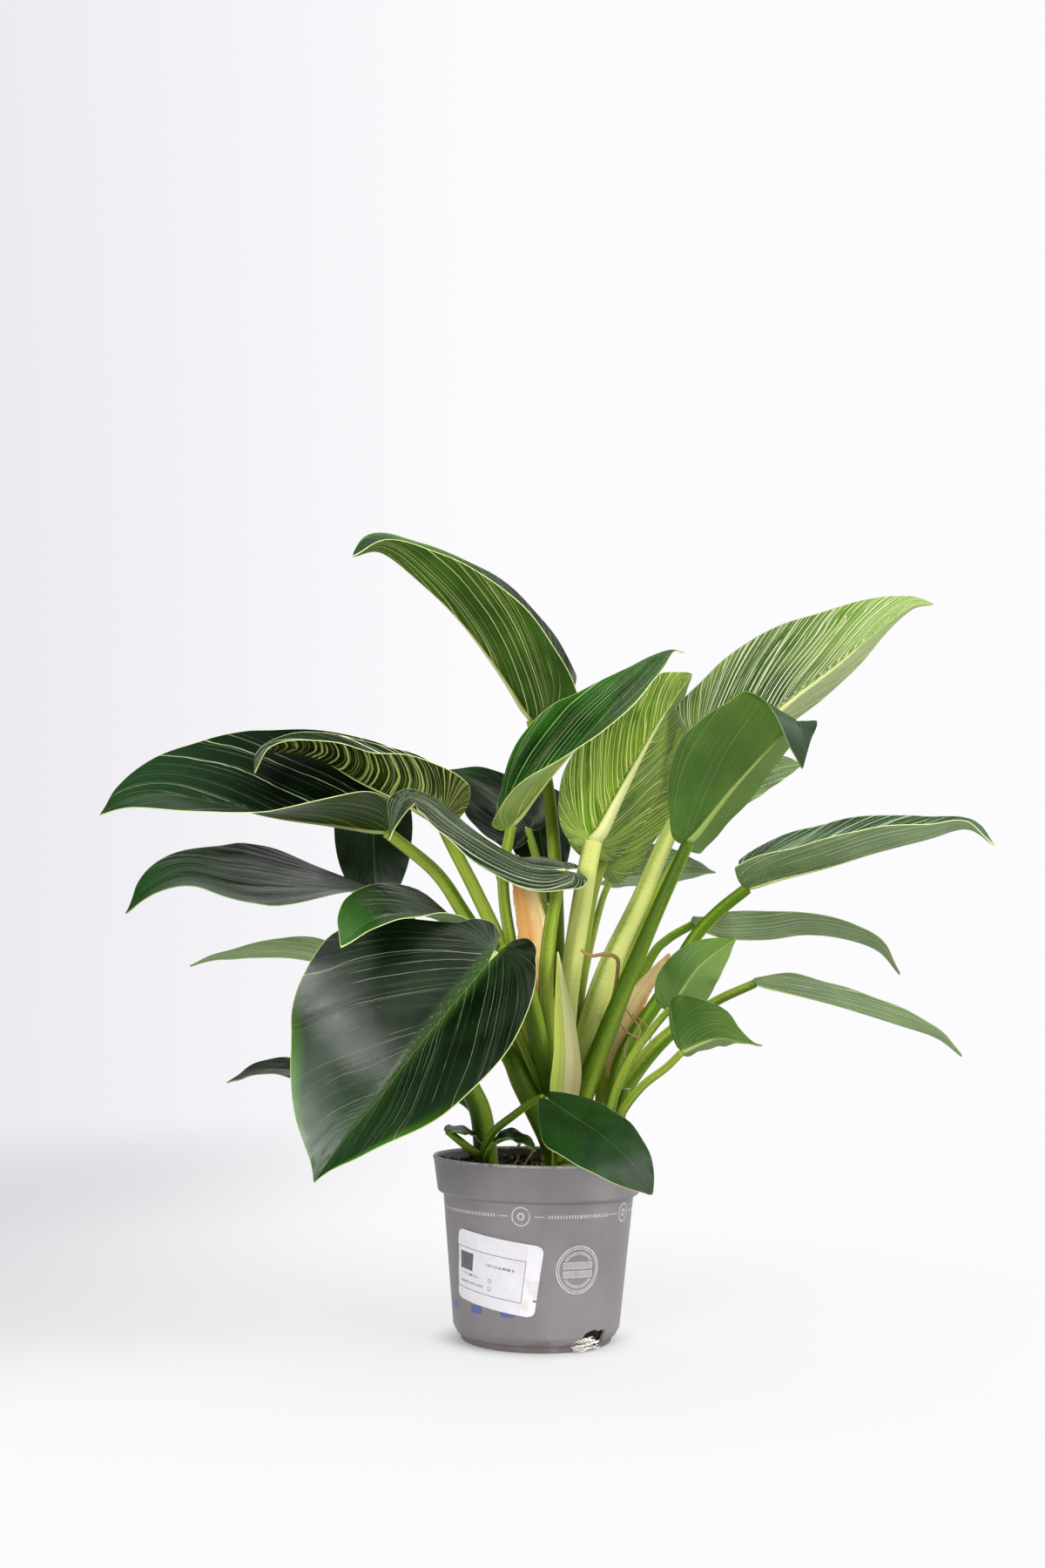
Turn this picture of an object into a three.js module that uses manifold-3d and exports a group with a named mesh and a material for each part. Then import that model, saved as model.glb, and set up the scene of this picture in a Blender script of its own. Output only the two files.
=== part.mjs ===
// Philodendron birkin, a striped aroid, growing in a round 12 cm nursery pot.
//
// Millimetres, +Z up. The origin is the centre of the pot's underside.
// -Y faces the viewer, +X is to the viewer's right.
//
// Every leaf is a stalk and a blade. A blade is a sheet of even thickness that follows its rib:
// rows run from the rib to the margin along the side veins, and the two halves fold up
// from the rib like an open book. The smallest leaves are one solid with their stalk.

import * as THREE from "three";
import { mergeGeometries, mergeVertices } from "three/addons/utils/BufferGeometryUtils.js";
import Module from "manifold-3d";

const wasm = await Module();
wasm.setup();

// ---- Driving dimensions ---------------------------------------------------------------------

const RIM_RADIUS = 60;
const POT_HEIGHT = 100;
const LIP_HEIGHT = 19;
const LIP_FOOT_RADIUS = 57;
const WALL_TOP_RADIUS = 53.7;
const WALL_FOOT_RADIUS = 46.6;
const BEVEL_HEIGHT = 8;
const FOOT_RADIUS = 42;
const FOOT_RING_HEIGHT = 3;
const POT_WALL = 1.6;
const POT_SIDES = 40;

const SOIL_LEVEL = 91;
const SOIL_LUMP = 1.6;
const SOIL_SIDES = 28;
const CLEARANCE = 0.3;

const DRAIN_WIDTH = 16;
const DRAIN_DEPTH = 14;
const DRAIN_BOTTOM = 1.2;
const DRAIN_TOP = 12;
const DRAIN_ANGLES = [42, 132, 222];

// Root wad in the first drain cut: half sizes across, in and up, and its centre.
const WAD_HALF = [6.5, 4.6, 3];
const WAD_OUT = 46;
const WAD_HEIGHT = 5;

const LABEL_WIDTH = 49;
const LABEL_HEIGHT = 38;
const LABEL_CORNER = 4;
const LABEL_ANGLE = -29;
const LABEL_TILT = -7.5;
const LABEL_CENTRE_HEIGHT = 41.5;
const LABEL_THICKNESS = 0.5;
const LABEL_GAP = 0.4;

const BLADE_THICKNESS = 0.9;
const RIB_THICKNESS = 2;
const LARGE_LEAF = { rows: 10, columns: 3 };
const SMALL_LEAF = { rows: 8, columns: 2 };
const STALK_SIDES = 6;
const STALK_STEPS = 7;
const STALK_DEPTH = 12;

// Half outline of a blade: along the rib (0 joint, 1 tip), out from the rib (1 is half the width).
const HALF_OUTLINE = [
  [-0.11, 0.14], [-0.14, 0.38], [-0.1, 0.66], [0, 0.88], [0.14, 0.99], [0.3, 1],
  [0.48, 0.9], [0.66, 0.66], [0.82, 0.36], [0.93, 0.11], [1, 0],
];

// Where a leaf's rib, stalk and faces go. For each leaf:
//   stalk       points from the shoot up to the joint; stalkWidth evenly spaced from foot to joint
//   rib         points from the joint to the tip
//   face        which way the top side looks, at the joint, half way and at the tip
//   half        half width to the left and to the right of the rib, seen from above the leaf
//   fold, curl  degrees each half rises from flat and bends down to its margin, at joint and tip
//   lobe        length of the two lobes behind the joint, 1 for long ones
//   belly       how far each half's widest part is moved to the tip
//   full        under 1 is fuller towards the tip, for each half
//   heel        how much narrower each half is at the joint
const largeLeaves = [
  {
    name: "01",
    stalk: [
      [12, 3, 104], [10, 3, 135], [10, 7, 172], [9, 10, 222],
      [7, 16, 268], [2, 19, 314], [-8, 16, 353],
    ],
    stalkWidth: [11, 9, 8, 7],
    rib: [
      [-8, 16, 353], [-27, 0, 379], [-50, -16, 405],
      [-76, -30, 427], [-96, -42, 439], [-111, -50, 434],
    ],
    face: [[8, -3, 6], [8, -1, 6], [2, -1, 10]],
    half: [51, 52], fold: [49, 40], curl: [5, 5],
    lobe: 0.4, belly: [0, 0], full: [1, 0.75], heel: [0, 0],
  },
  {
    name: "02",
    stalk: [[10, -4, 108], [6, -5, 130], [-5, -12, 172], [-17, -20, 215], [-23, -22, 254], [-19, -27, 285]],
    stalkWidth: [10, 7, 7, 6],
    rib: [[-19, -27, 285], [1, -42, 311], [26, -52, 338], [52, -49, 366], [68, -45, 383], [77, -41, 384]],
    face: [[-7, -2, 6], [-6, -5, 6], [-6, -5, 6]],
    half: [40, 34], fold: [38, 0], curl: [0, 5],
    lobe: 0.2, belly: [0.05, 0.05], full: [1, 1], heel: [0.4, 0.4],
  },
  {
    name: "03",
    stalk: [[14, -4, 108], [14, -5, 135], [14, -6, 162], [16, -10, 197], [24, -16, 256], [28, -16, 278]],
    stalkWidth: [15, 12, 12, 11],
    rib: [[28, -16, 278], [43, -18, 307], [59, -16, 337], [73, -10, 361], [85, -2, 379]],
    face: [[-6, 7, 4], [-6, 7, 4], [-6, 7, 4]],
    half: [42, 39], fold: [20, 20], curl: [10, 10],
    lobe: 0.4, belly: [0, 0], full: [0.65, 0.65], heel: [0, 0.3],
  },
  {
    name: "04",
    stalk: [
      [16, -1, 108], [19, -3, 128], [27, -4, 165], [39, -2, 207],
      [56, 0, 245], [77, 4, 293], [99, 6, 328],
    ],
    stalkWidth: [21, 18, 12, 10, 9],
    rib: [
      [99, 6, 328], [120, 2, 344], [144, -2, 365], [170, -6, 385],
      [195, -8, 407], [214, -8, 421], [227, -6, 423],
    ],
    face: [[-5, 7, 6], [-5, 7, 6], [-5, 7, 6]],
    half: [33, 46], fold: [31, 25], curl: [12, 12],
    lobe: 0.2, belly: [0, 0], full: [1, 1], heel: [0, 0],
  },
  {
    name: "05",
    stalk: [[17, -6, 102], [24, -12, 134], [42, -24, 184], [61, -34, 232], [80, -40, 276]],
    stalkWidth: [14, 12, 10, 8, 7],
    rib: [
      [80, -40, 276], [101, -46, 303], [114, -52, 318], [127, -58, 332],
      [136, -68, 341], [137, -80, 333], [137, -86, 323], [136, -88, 312],
    ],
    face: [[-5, 7, 4], [-3, 6, 7], [8, -10, 3]],
    half: [25, 44], fold: [24, 10], curl: [5, 5],
    lobe: 0.2, belly: [-0.1, 0.12], full: [1, 0.7], heel: [0, 0.65],
  },
  {
    name: "06",
    stalk: [[38, 0, 108], [47, -2, 155], [70, 0, 193], [87, 3, 223], [102, 4, 240], [119, 6, 254]],
    stalkWidth: [10, 9, 8, 7],
    rib: [
      [119, 6, 254], [136, 2, 260], [164, -4, 267], [193, -10, 276],
      [219, -16, 283], [241, -20, 289], [256, -24, 279],
    ],
    face: [[-3, -2, 9], [-3, -2, 9], [-3, -2, 9]],
    half: [37, 40], fold: [33, 33], curl: [0, 0],
    lobe: 0.1, belly: [0, 0], full: [1, 1], heel: [0.25, 0],
  },
  {
    name: "07",
    stalk: [[38, 4, 110], [40, 9, 140], [48, 16, 177], [65, 29, 213], [76, 37, 225], [91, 39, 234]],
    stalkWidth: [8, 5],
    rib: [
      [91, 39, 234], [110, 36, 227], [134, 26, 226], [155, 20, 229],
      [176, 14, 227], [196, 10, 220], [208, 6, 206],
    ],
    face: [[1, 1, 10], [1, 1, 10], [1, 1, 10]],
    half: [34, 34], fold: [19, 14], curl: [0, 0],
    lobe: 0.1, belly: [0, 0], full: [0.7, 0.7], heel: [0.6, 0.6],
  },
  {
    name: "08",
    stalk: [[40, -2, 102], [44, -3, 130], [57, -4, 152], [76, -6, 172], [99, -6, 188], [122, -6, 199]],
    stalkWidth: [12, 11, 9, 6, 5],
    rib: [
      [122, -6, 199], [147, -12, 193], [173, -18, 186],
      [199, -24, 178], [220, -28, 171], [233, -32, 161],
    ],
    face: [[3, 0, 10], [3, 0, 10], [3, 0, 10]],
    half: [27, 30], fold: [19, 19], curl: [0, 0],
    lobe: 0.1, belly: [0, 0], full: [0.7, 0.7], heel: [0.7, 0.7],
  },
  {
    name: "13",
    stalk: [
      [9, -1, 110], [0, -5, 135], [-16, -10, 176], [-35, -14, 219],
      [-46, -16, 237], [-62, -18, 259], [-90, -20, 281],
    ],
    stalkWidth: [12, 11, 9, 8, 7],
    rib: [
      [-90, -20, 281], [-120, -32, 284], [-150, -46, 286], [-179, -60, 291],
      [-205, -74, 294], [-224, -82, 290], [-237, -86, 281],
    ],
    face: [[2, -3, 10], [1, -5, 8], [1, -6, 8]],
    half: [52, 62], fold: [52, 0], curl: [0, 0],
    lobe: 0.2, belly: [0.05, 0.05], full: [1, 1], heel: [0.5, 0],
  },
  {
    name: "14",
    stalk: [
      [9, -6, 108], [2, -8, 140], [-9, -12, 177], [-24, -18, 218],
      [-39, -23, 249], [-52, -29, 273], [-58, -32, 285],
    ],
    stalkWidth: [12, 11, 9, 8, 7],
    rib: [
      [-58, -32, 285], [-81, -38, 297], [-104, -44, 307], [-123, -50, 317],
      [-141, -56, 321], [-154, -60, 319], [-160, -62, 308],
    ],
    face: [[4, -1, 9], [4, -2, 9], [-5, -3, 8]],
    half: [36, 34], fold: [58, 16], curl: [0, 0],
    lobe: 0.4, belly: [0, 0], full: [0.8, 0.8], heel: [0, 0],
  },
  {
    name: "15",
    stalk: [
      [13, -9, 104], [11, -12, 130], [5, -22, 162], [2, -33, 191],
      [3, -45, 220], [7, -56, 246], [11, -58, 257],
    ],
    stalkWidth: [20, 15, 9, 8, 6],
    rib: [
      [11, -58, 258], [-9, -62, 259], [-29, -66, 268], [-50, -70, 281],
      [-65, -74, 292], [-77, -78, 293], [-84, -82, 270],
    ],
    face: [[3, -3, 9], [5, -3, 8], [-7, -4, 6]],
    half: [29, 36], fold: [0, 0], curl: [15, 15],
    lobe: 0.6, belly: [0, 0], full: [1, 1], heel: [0, 0],
  },
  {
    name: "16",
    stalk: [
      [-29, -8, 92], [-33, -12, 123], [-42, -14, 144],
      [-56, -18, 186], [-71, -24, 224], [-88, -30, 246],
    ],
    stalkWidth: [14, 12, 9, 7, 6],
    rib: [
      [-88, -30, 246], [-113, -42, 247], [-141, -54, 246], [-167, -66, 246],
      [-191, -78, 250], [-209, -86, 243], [-220, -90, 229],
    ],
    face: [[1, 0, 10], [1, -5, 9], [1, -4, 9]],
    half: [42, 46], fold: [8, 13], curl: [0, 0],
    lobe: 0.1, belly: [0.06, 0.06], full: [0.9, 1.3], heel: [0.3, 0.3],
  },
  {
    name: "18",
    stalk: [
      [11, -10, 104], [8, -14, 132], [-1, -32, 165],
      [-9, -52, 193], [-17, -68, 207], [-24, -82, 214],
    ],
    stalkWidth: [13, 12, 10, 8],
    rib: [
      [-25, -86, 212], [-35, -92, 199], [-51, -100, 179], [-66, -106, 160],
      [-81, -110, 139], [-98, -116, 118], [-113, -120, 96],
    ],
    face: [[-4, -9, 3], [-4, -9, 3], [-4, -9, 3]],
    half: [57, 74], fold: [28, 20], curl: [8, 8],
    lobe: 0.55, belly: [0.04, 0.09], full: [1.1, 1], heel: [0.35, 0.6],
  },
  {
    name: "19",
    stalk: [[10, -12, 98], [4, -16, 114], [-10, -18, 140], [-21, -14, 160], [-51, 10, 181], [-94, 40, 190]],
    stalkWidth: [13, 12, 9, 5, 4],
    rib: [
      [-94, 40, 190], [-120, 36, 204], [-146, 32, 210],
      [-171, 26, 210], [-193, 20, 208], [-206, 16, 204],
    ],
    face: [[2, 3, 9], [2, 3, 9], [2, 3, 9]],
    half: [25, 25], fold: [15, 15], curl: [0, 0],
    lobe: 0.3, belly: [0, 0], full: [1, 1], heel: [0, 0],
  },
  {
    name: "25",
    stalk: [
      [8, 4, 114], [2, 14, 136], [-11, 26, 186], [-20, 38, 228],
      [-24, 46, 257], [-34, 52, 278], [-67, 58, 303], [-105, 60, 310],
    ],
    stalkWidth: [7, 5],
    rib: [[-105, 60, 310], [-104, 56, 283], [-102, 52, 256], [-100, 50, 226]],
    face: [[0, -10, 2], [0, -10, 2], [0, -10, 2]],
    half: [24, 24], fold: [5, 5], curl: [0, 0],
    lobe: 0.5, belly: [0, 0], full: [1, 1], heel: [0, 0],
  },
  {
    name: "26",
    stalk: [[10, 5, 110], [8, 14, 140], [7, 24, 171], [3, 40, 223], [-2, 56, 266], [-9, 62, 292]],
    stalkWidth: [7, 5],
    rib: [[-9, 62, 292], [-26, 64, 307], [-43, 68, 320], [-65, 72, 330]],
    face: [[3, -9, 4], [3, -9, 4], [3, -9, 4]],
    half: [24, 24], fold: [0, 0], curl: [0, 0],
    lobe: 0.5, belly: [0, 0], full: [1, 1], heel: [0, 0],
  },
  {
    name: "27",
    stalk: [[13, 6, 112], [13, 36, 150], [12, 76, 195], [9, 96, 240], [2, 98, 288], [-6, 86, 315]],
    stalkWidth: [7, 5],
    rib: [[-6, 84, 315], [-2, 82, 295], [2, 80, 273], [5, 78, 246]],
    face: [[0, -10, 2], [0, -10, 2], [0, -10, 2]],
    half: [20, 20], fold: [0, 0], curl: [0, 0],
    lobe: 0.5, belly: [0, 0], full: [1, 1], heel: [0, 0],
  },
  {
    name: "28",
    stalk: [[15, 4, 112], [18, 6, 140], [21, 8, 187], [25, 10, 222], [30, 12, 252], [36, 14, 271]],
    stalkWidth: [10, 9, 7, 6],
    rib: [[36, 14, 271], [54, 20, 300], [73, 28, 331], [90, 38, 362]],
    face: [[-5, 8, 3], [-5, 8, 3], [-5, 8, 3]],
    half: [34, 34], fold: [25, 15], curl: [10, 10],
    lobe: 0.5, belly: [0, 0], full: [1, 1], heel: [0, 0],
  },
];

const smallLeaves = [
  {
    name: "09",
    stalk: [[39, -6, 104], [41, -16, 132], [50, -26, 156], [62, -38, 174], [70, -44, 184]],
    stalkWidth: [6, 5, 4],
    rib: [[70, -44, 184], [77, -46, 195], [86, -50, 208], [105, -52, 223]],
    face: [[-1, 10, 1], [-1, 10, 1], [-1, 10, 1]],
    half: [16, 16], fold: [15, 10], curl: [0, 0],
    lobe: 0.3, belly: [0, 0], full: [0.8, 0.8], heel: [0.3, 0.3],
  },
  {
    name: "10",
    stalk: [[41, -6, 98], [44, -18, 122], [55, -30, 140], [68, -44, 152], [76, -52, 161]],
    stalkWidth: [6, 5, 4],
    rib: [[76, -52, 161], [86, -56, 166], [95, -60, 169], [104, -64, 168], [117, -68, 166]],
    face: [[0, 8, 4], [0, 8, 5], [0, 5, 8]],
    half: [10, 29], fold: [38, 20], curl: [0, 0],
    lobe: 0.3, belly: [0, -0.12], full: [1.5, 1.6], heel: [0.3, 0.3],
  },
  {
    name: "11",
    stalk: [
      [38, 5, 106], [38, 12, 150], [43, 22, 197], [61, 32, 235],
      [78, 42, 266], [94, 50, 291], [111, 56, 315],
    ],
    stalkWidth: [12, 11, 10, 7, 5],
    rib: [[111, 56, 315], [130, 58, 326], [147, 60, 333], [161, 62, 336]],
    face: [[-1, 10, 3], [-1, 10, 3], [-1, 10, 3]],
    half: [13, 13], fold: [10, 10], curl: [0, 0],
    lobe: 0.5, belly: [0, 0], full: [0.7, 0.7], heel: [0, 0],
  },
  {
    name: "12",
    stalk: [[16, 5, 110], [19, 20, 147], [26, 38, 202], [36, 54, 245], [43, 64, 263]],
    stalkWidth: [6, 4],
    rib: [[43, 64, 263], [64, 68, 266], [89, 72, 268], [109, 76, 269]],
    face: [[-1, 5, 9], [-1, 5, 9], [-1, 5, 9]],
    half: [24, 24], fold: [20, 10], curl: [0, 0],
    lobe: 0.5, belly: [0, 0], full: [1, 1], heel: [0, 0],
  },
  {
    name: "17",
    stalk: [[9, -10, 100], [2, -14, 132], [-15, -28, 172], [-31, -40, 207], [-40, -46, 222]],
    stalkWidth: [5, 4],
    rib: [[-40, -46, 222], [-61, -72, 231], [-79, -100, 230], [-92, -128, 223], [-100, -148, 212]],
    face: [[2, -3, 10], [1, -5, 9], [1, -5, 9]],
    half: [22, 25], fold: [20, 20], curl: [0, 0],
    lobe: 0.1, belly: [0.08, 0.08], full: [0.8, 0.8], heel: [0.4, 0.4],
  },
  {
    name: "20",
    stalk: [[-29, -4, 94], [-32, 10, 112], [-45, 18, 129], [-81, 26, 139], [-115, 30, 143]],
    stalkWidth: [5, 4],
    rib: [[-115, 30, 143], [-138, 26, 144], [-163, 22, 144], [-182, 18, 137]],
    face: [[0, -4, 9], [0, -4, 9], [0, -4, 9]],
    half: [14, 14], fold: [10, 10], curl: [0, 0],
    lobe: 0.3, belly: [0, 0], full: [1, 1], heel: [0, 0],
  },
  {
    name: "21",
    stalk: [
      [-29, -14, 92], [-31, -26, 102], [-26, -38, 115],
      [-14, -50, 126], [-5, -56, 133], [1, -60, 136],
    ],
    stalkWidth: [5, 4],
    rib: [[2, -60, 136], [17, -70, 127], [32, -82, 118], [46, -90, 106], [57, -94, 90]],
    face: [[1, -7, 7], [1, -7, 7], [1, -7, 7]],
    half: [19, 26], fold: [10, 5], curl: [20, 20],
    lobe: 0.15, belly: [0.08, 0.08], full: [0.7, 0.7], heel: [0.75, 0.75],
  },
  {
    name: "22",
    stalk: [[-27, -24, 86], [-29, -34, 99], [-28, -40, 105], [-25, -44, 110]],
    stalkWidth: [4, 3],
    rib: [[-25, -44, 110], [-17, -46, 113], [-8, -48, 112], [-2, -50, 107]],
    face: [[0, -3, 10], [0, -3, 10], [0, -3, 10]],
    half: [8, 8], fold: [30, 0], curl: [0, 0],
    lobe: 0.15, belly: [0, 0], full: [1, 1], heel: [0.5, 0.5],
  },
  {
    name: "23",
    stalk: [[8, -28, 86], [8, -36, 100], [8, -42, 106]],
    stalkWidth: [3, 3],
    rib: [[8, -42, 106], [13, -46, 108], [19, -50, 105]],
    face: [[0, -5, 9], [0, -5, 9], [0, -5, 9]],
    half: [5, 5], fold: [10, 0], curl: [0, 0],
    lobe: 0.15, belly: [0, 0], full: [1, 1], heel: [0.5, 0.5],
  },
  {
    name: "24",
    stalk: [[-28, -12, 84], [-31, -20, 98], [-41, -26, 107], [-51, -30, 115]],
    stalkWidth: [6, 4],
    rib: [[-51, -30, 115], [-43, -24, 115], [-36, -20, 112], [-29, -18, 107]],
    face: [[0, -3, 10], [0, -3, 10], [0, -3, 10]],
    half: [8, 8], fold: [10, 0], curl: [0, 0],
    lobe: 0.15, belly: [0, 0], full: [1, 1], heel: [0.5, 0.5],
  },
];

// Stems, and the other things that stand among the stalks. Widths are seen from the front,
// depths from the side, each at the foot, half way and at the top.
const stems = [
  {
    name: "stem_main",
    path: [[12, 0, 50], [12, 0, 90], [12, 0, 128]],
    width: [20, 20, 15], depth: [20, 20, 15],
  },
  {
    name: "stem_left",
    path: [[-28, -8, 56], [-29, -8, 82], [-29, -8, 104]],
    width: [16, 15, 11], depth: [16, 15, 11],
  },
  {
    name: "stem_right",
    path: [[39, 0, 56], [39, 0, 88], [39, 0, 118]],
    width: [15, 14, 11], depth: [15, 14, 11],
  },
];

const CUT_STUB = {
  path: [[43, -8, 112], [45, -9, 126], [47, -10, 139]],
  width: [9, 8, 8], depth: [9, 8, 8],
};
const PALE_SHEATH = {
  path: [[13, -20, 112], [13, -24, 133], [14, -31, 152], [13, -36, 170], [10, -41, 196], [8, -44, 214]],
  width: [9, 17, 12, 2], depth: [4, 3, 2],
};
const DRY_SHEATH_LEFT = {
  path: [[7, -8, 112], [6, -13, 140], [3, -17, 170], [-3, -21, 204], [-7, -24, 233], [-17, -26, 268]],
  width: [5, 7, 12, 18, 9], depth: [2, 2, 2, 2, 2],
};
const DRY_SHEATH_RIGHT = {
  path: [[39, 7, 112], [41, 7, 138], [45, 3, 168], [53, 0, 186], [62, -2, 200], [73, -6, 215]],
  width: [5, 9, 14, 3], depth: [2, 2, 2, 2],
};
const AERIAL_ROOT = {
  path: [
    [21, -44, 215], [26, -46, 212], [34, -45, 213], [41, -38, 211],
    [42, -26, 203], [40, -14, 186], [36, -9, 167], [31, -7, 150],
  ],
  width: [2, 2.4, 2.4], depth: [2, 2.4, 2.4],
};

// ---- Solids ---------------------------------------------------------------------------------

function solidFrom(geometry) {
  const bare = geometry.clone();
  bare.deleteAttribute("normal");
  bare.deleteAttribute("uv");
  const merged = mergeVertices(bare, 0.001);
  const index = merged.index.array;
  const triangles = [];
  for (let i = 0; i < index.length; i += 3) {
    const [a, b, c] = [index[i], index[i + 1], index[i + 2]];
    if (a !== b && b !== c && c !== a) {
      triangles.push(a, b, c);
    }
  }
  return new wasm.Manifold(new wasm.Mesh({
    numProp: 3,
    vertProperties: new Float32Array(merged.attributes.position.array),
    triVerts: new Uint32Array(triangles),
  }));
}

function geometryFrom(solid) {
  const mesh = solid.getMesh();
  const geometry = new THREE.BufferGeometry();
  geometry.setAttribute("position", new THREE.BufferAttribute(mesh.vertProperties, 3));
  geometry.setIndex(new THREE.BufferAttribute(mesh.triVerts, 1));
  geometry.computeVertexNormals();
  return geometry;
}

function largestPiece(solid) {
  const pieces = solid.decompose();
  return pieces.reduce((best, piece) => (piece.volume() > best.volume() ? piece : best));
}

function cutClear(solid, keepOff) {
  const cut = keepOff.reduce((rest, other) => rest.subtract(other), solid);
  return largestPiece(cut);
}

function curveThrough(points) {
  return new THREE.CatmullRomCurve3(points.map((p) => new THREE.Vector3(...p)), false, "catmullrom", 0.5);
}

function blend(values, t) {
  const last = values.length - 1;
  const at = Math.min(Math.floor(t * last), last - 1);
  return THREE.MathUtils.lerp(values[at], values[at + 1], t * last - at);
}

// ---- Stalks, stems and sheaths: a tube of oval section along a curve -------------------------

function tube({ path, width, depth }, sides = STALK_SIDES, steps = STALK_STEPS, grow = 0) {
  const curve = curveThrough(path);
  const geometry = new THREE.CylinderGeometry(1, 1, 1, sides, steps);
  const position = geometry.attributes.position;
  const away = new THREE.Vector3(0, 1, 0);
  for (let i = 0; i < position.count; i += 1) {
    const t = position.getY(i) + 0.5;
    const along = curve.getTangentAt(t);
    const across = new THREE.Vector3().crossVectors(away, along).normalize();
    const back = new THREE.Vector3().crossVectors(across, along).normalize();
    const point = curve.getPointAt(t);
    point.addScaledVector(across, position.getX(i) * (blend(width, t) / 2 + grow));
    point.addScaledVector(back, position.getZ(i) * (blend(depth, t) / 2 + grow));
    point.addScaledVector(along, (2 * t - 1) * grow);
    position.setXYZ(i, point.x, point.y, point.z);
  }
  return solidFrom(geometry);
}

function stalkTube(leaf, grow = 0) {
  const width = leaf.stalkWidth;
  const depth = width.map((w) => Math.min(w, STALK_DEPTH));
  return tube({ path: leaf.stalk, width, depth }, STALK_SIDES, STALK_STEPS, grow);
}

// ---- Blades ---------------------------------------------------------------------------------

const outlineCurve = curveThrough(HALF_OUTLINE.map(([x, y]) => [x, y, 0]));

// Rib place (0 joint to 1 tip) and distance from the rib (1 is the half width) of a point on the
// side vein that ends at outline parameter t, a share v of the way from the rib to the margin.
function veinPoint(leaf, hand, t, v) {
  const end = outlineCurve.getPoint(t);
  let { x, y } = end;
  if (x > 0.3) {
    y = Math.max(y, 0) ** leaf.full[hand];
  } else {
    y *= 1 - leaf.heel[hand] * (1 - Math.max(x, 0) / 0.3) ** 2;
  }
  x = x < 0 ? x * leaf.lobe : x + leaf.belly[hand] * Math.sin(Math.PI * x);
  const root = Math.max(0, x - 0.24 * y);
  const bend = { x: root + 0.3 * (x - root), y: 0.58 * y };
  return {
    along: (1 - v) ** 2 * root + 2 * v * (1 - v) * bend.x + v * v * x,
    out: 2 * v * (1 - v) * bend.y + v * v * y,
  };
}

// The rib's place, direction and facing at u.
function ribFrame(leaf, ribCurve, u) {
  const place = THREE.MathUtils.clamp(u, 0, 1);
  const along = ribCurve.getTangentAt(place);
  const point = ribCurve.getPointAt(place);
  if (u < 0) {
    point.addScaledVector(along, u * ribCurve.getLength());
  }
  const facing = new THREE.Vector3(
    blend(leaf.face.map((f) => f[0] / Math.hypot(...f)), place),
    blend(leaf.face.map((f) => f[1] / Math.hypot(...f)), place),
    blend(leaf.face.map((f) => f[2] / Math.hypot(...f)), place),
  );
  facing.addScaledVector(along, -facing.dot(along)).normalize();
  const right = new THREE.Vector3().crossVectors(along, facing);
  return { place, point, facing, right };
}

// A point of the blade's sheet: side -1 or 1, depth below the top face, margins grown outwards.
function bladePoint(leaf, ribCurve, t, v, side, depth, grow) {
  const hand = side > 0 ? 1 : 0;
  const { along, out } = veinPoint(leaf, hand, t, v);
  const frame = ribFrame(leaf, ribCurve, along - grow / ribCurve.getLength());
  const halfWidth = grow + leaf.half[hand];
  const start = THREE.MathUtils.degToRad(blend(leaf.fold, frame.place));
  const bend = -THREE.MathUtils.degToRad(blend(leaf.curl, frame.place));
  const slope = start + bend * out;
  const flat = Math.abs(bend) < 1e-6;
  const sideways = flat ? out * Math.cos(start) : (Math.sin(slope) - Math.sin(start)) / bend;
  const raised = flat ? out * Math.sin(start) : (Math.cos(start) - Math.cos(slope)) / bend;
  const point = frame.point.clone();
  point.addScaledVector(frame.right, side * sideways * halfWidth);
  point.addScaledVector(frame.facing, raised * halfWidth);
  const lean = v === 0 ? 0 : Math.sin(slope);
  point.addScaledVector(frame.right, side * lean * depth);
  point.addScaledVector(frame.facing, -(v === 0 ? 1 : Math.cos(slope)) * depth);
  return point;
}

// The blade as a solid. With grow above 0 it is the room that the blade takes, larger all round.
function bladeSolid(leaf, { rows, columns }, grow = 0) {
  const ribCurve = curveThrough(leaf.rib);
  const pointAt = (row, column, under) => {
    const v = Math.abs(column) / columns;
    const thickness = column === 0 ? RIB_THICKNESS : BLADE_THICKNESS;
    const depth = under ? thickness + grow : -grow;
    return bladePoint(leaf, ribCurve, row / rows, v, Math.sign(column) || 1, depth, grow);
  };

  const sheets = [false, true].map((under) => {
    const sheet = new THREE.PlaneGeometry(2 * columns, rows, 2 * columns, rows);
    const position = sheet.attributes.position;
    for (let i = 0; i < position.count; i += 1) {
      const column = Math.round(position.getX(i));
      const row = Math.round(position.getY(i) + rows / 2);
      const point = pointAt(row, column, under);
      position.setXYZ(i, point.x, point.y, point.z);
    }
    if (under) {
      sheet.index.array.reverse();
    }
    return sheet;
  });

  const border = [];
  for (let column = -columns; column < columns; column += 1) {
    border.push([0, column]);
  }
  for (let row = 0; row < rows; row += 1) {
    border.push([row, columns]);
  }
  for (let column = columns; column > -columns; column -= 1) {
    border.push([rows, column]);
  }
  for (let row = rows; row > 0; row -= 1) {
    border.push([row, -columns]);
  }
  border.push(border[0]);
  const edge = new THREE.PlaneGeometry(border.length - 1, 1, border.length - 1, 1);
  const position = edge.attributes.position;
  for (let i = 0; i < position.count; i += 1) {
    const [row, column] = border[Math.round(position.getX(i) + (border.length - 1) / 2)];
    const point = pointAt(row, column, position.getY(i) < 0);
    position.setXYZ(i, point.x, point.y, point.z);
  }
  return solidFrom(mergeGeometries([...sheets, edge]));
}

// ---- Pot, soil, label, root wad --------------------------------------------------------------

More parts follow.
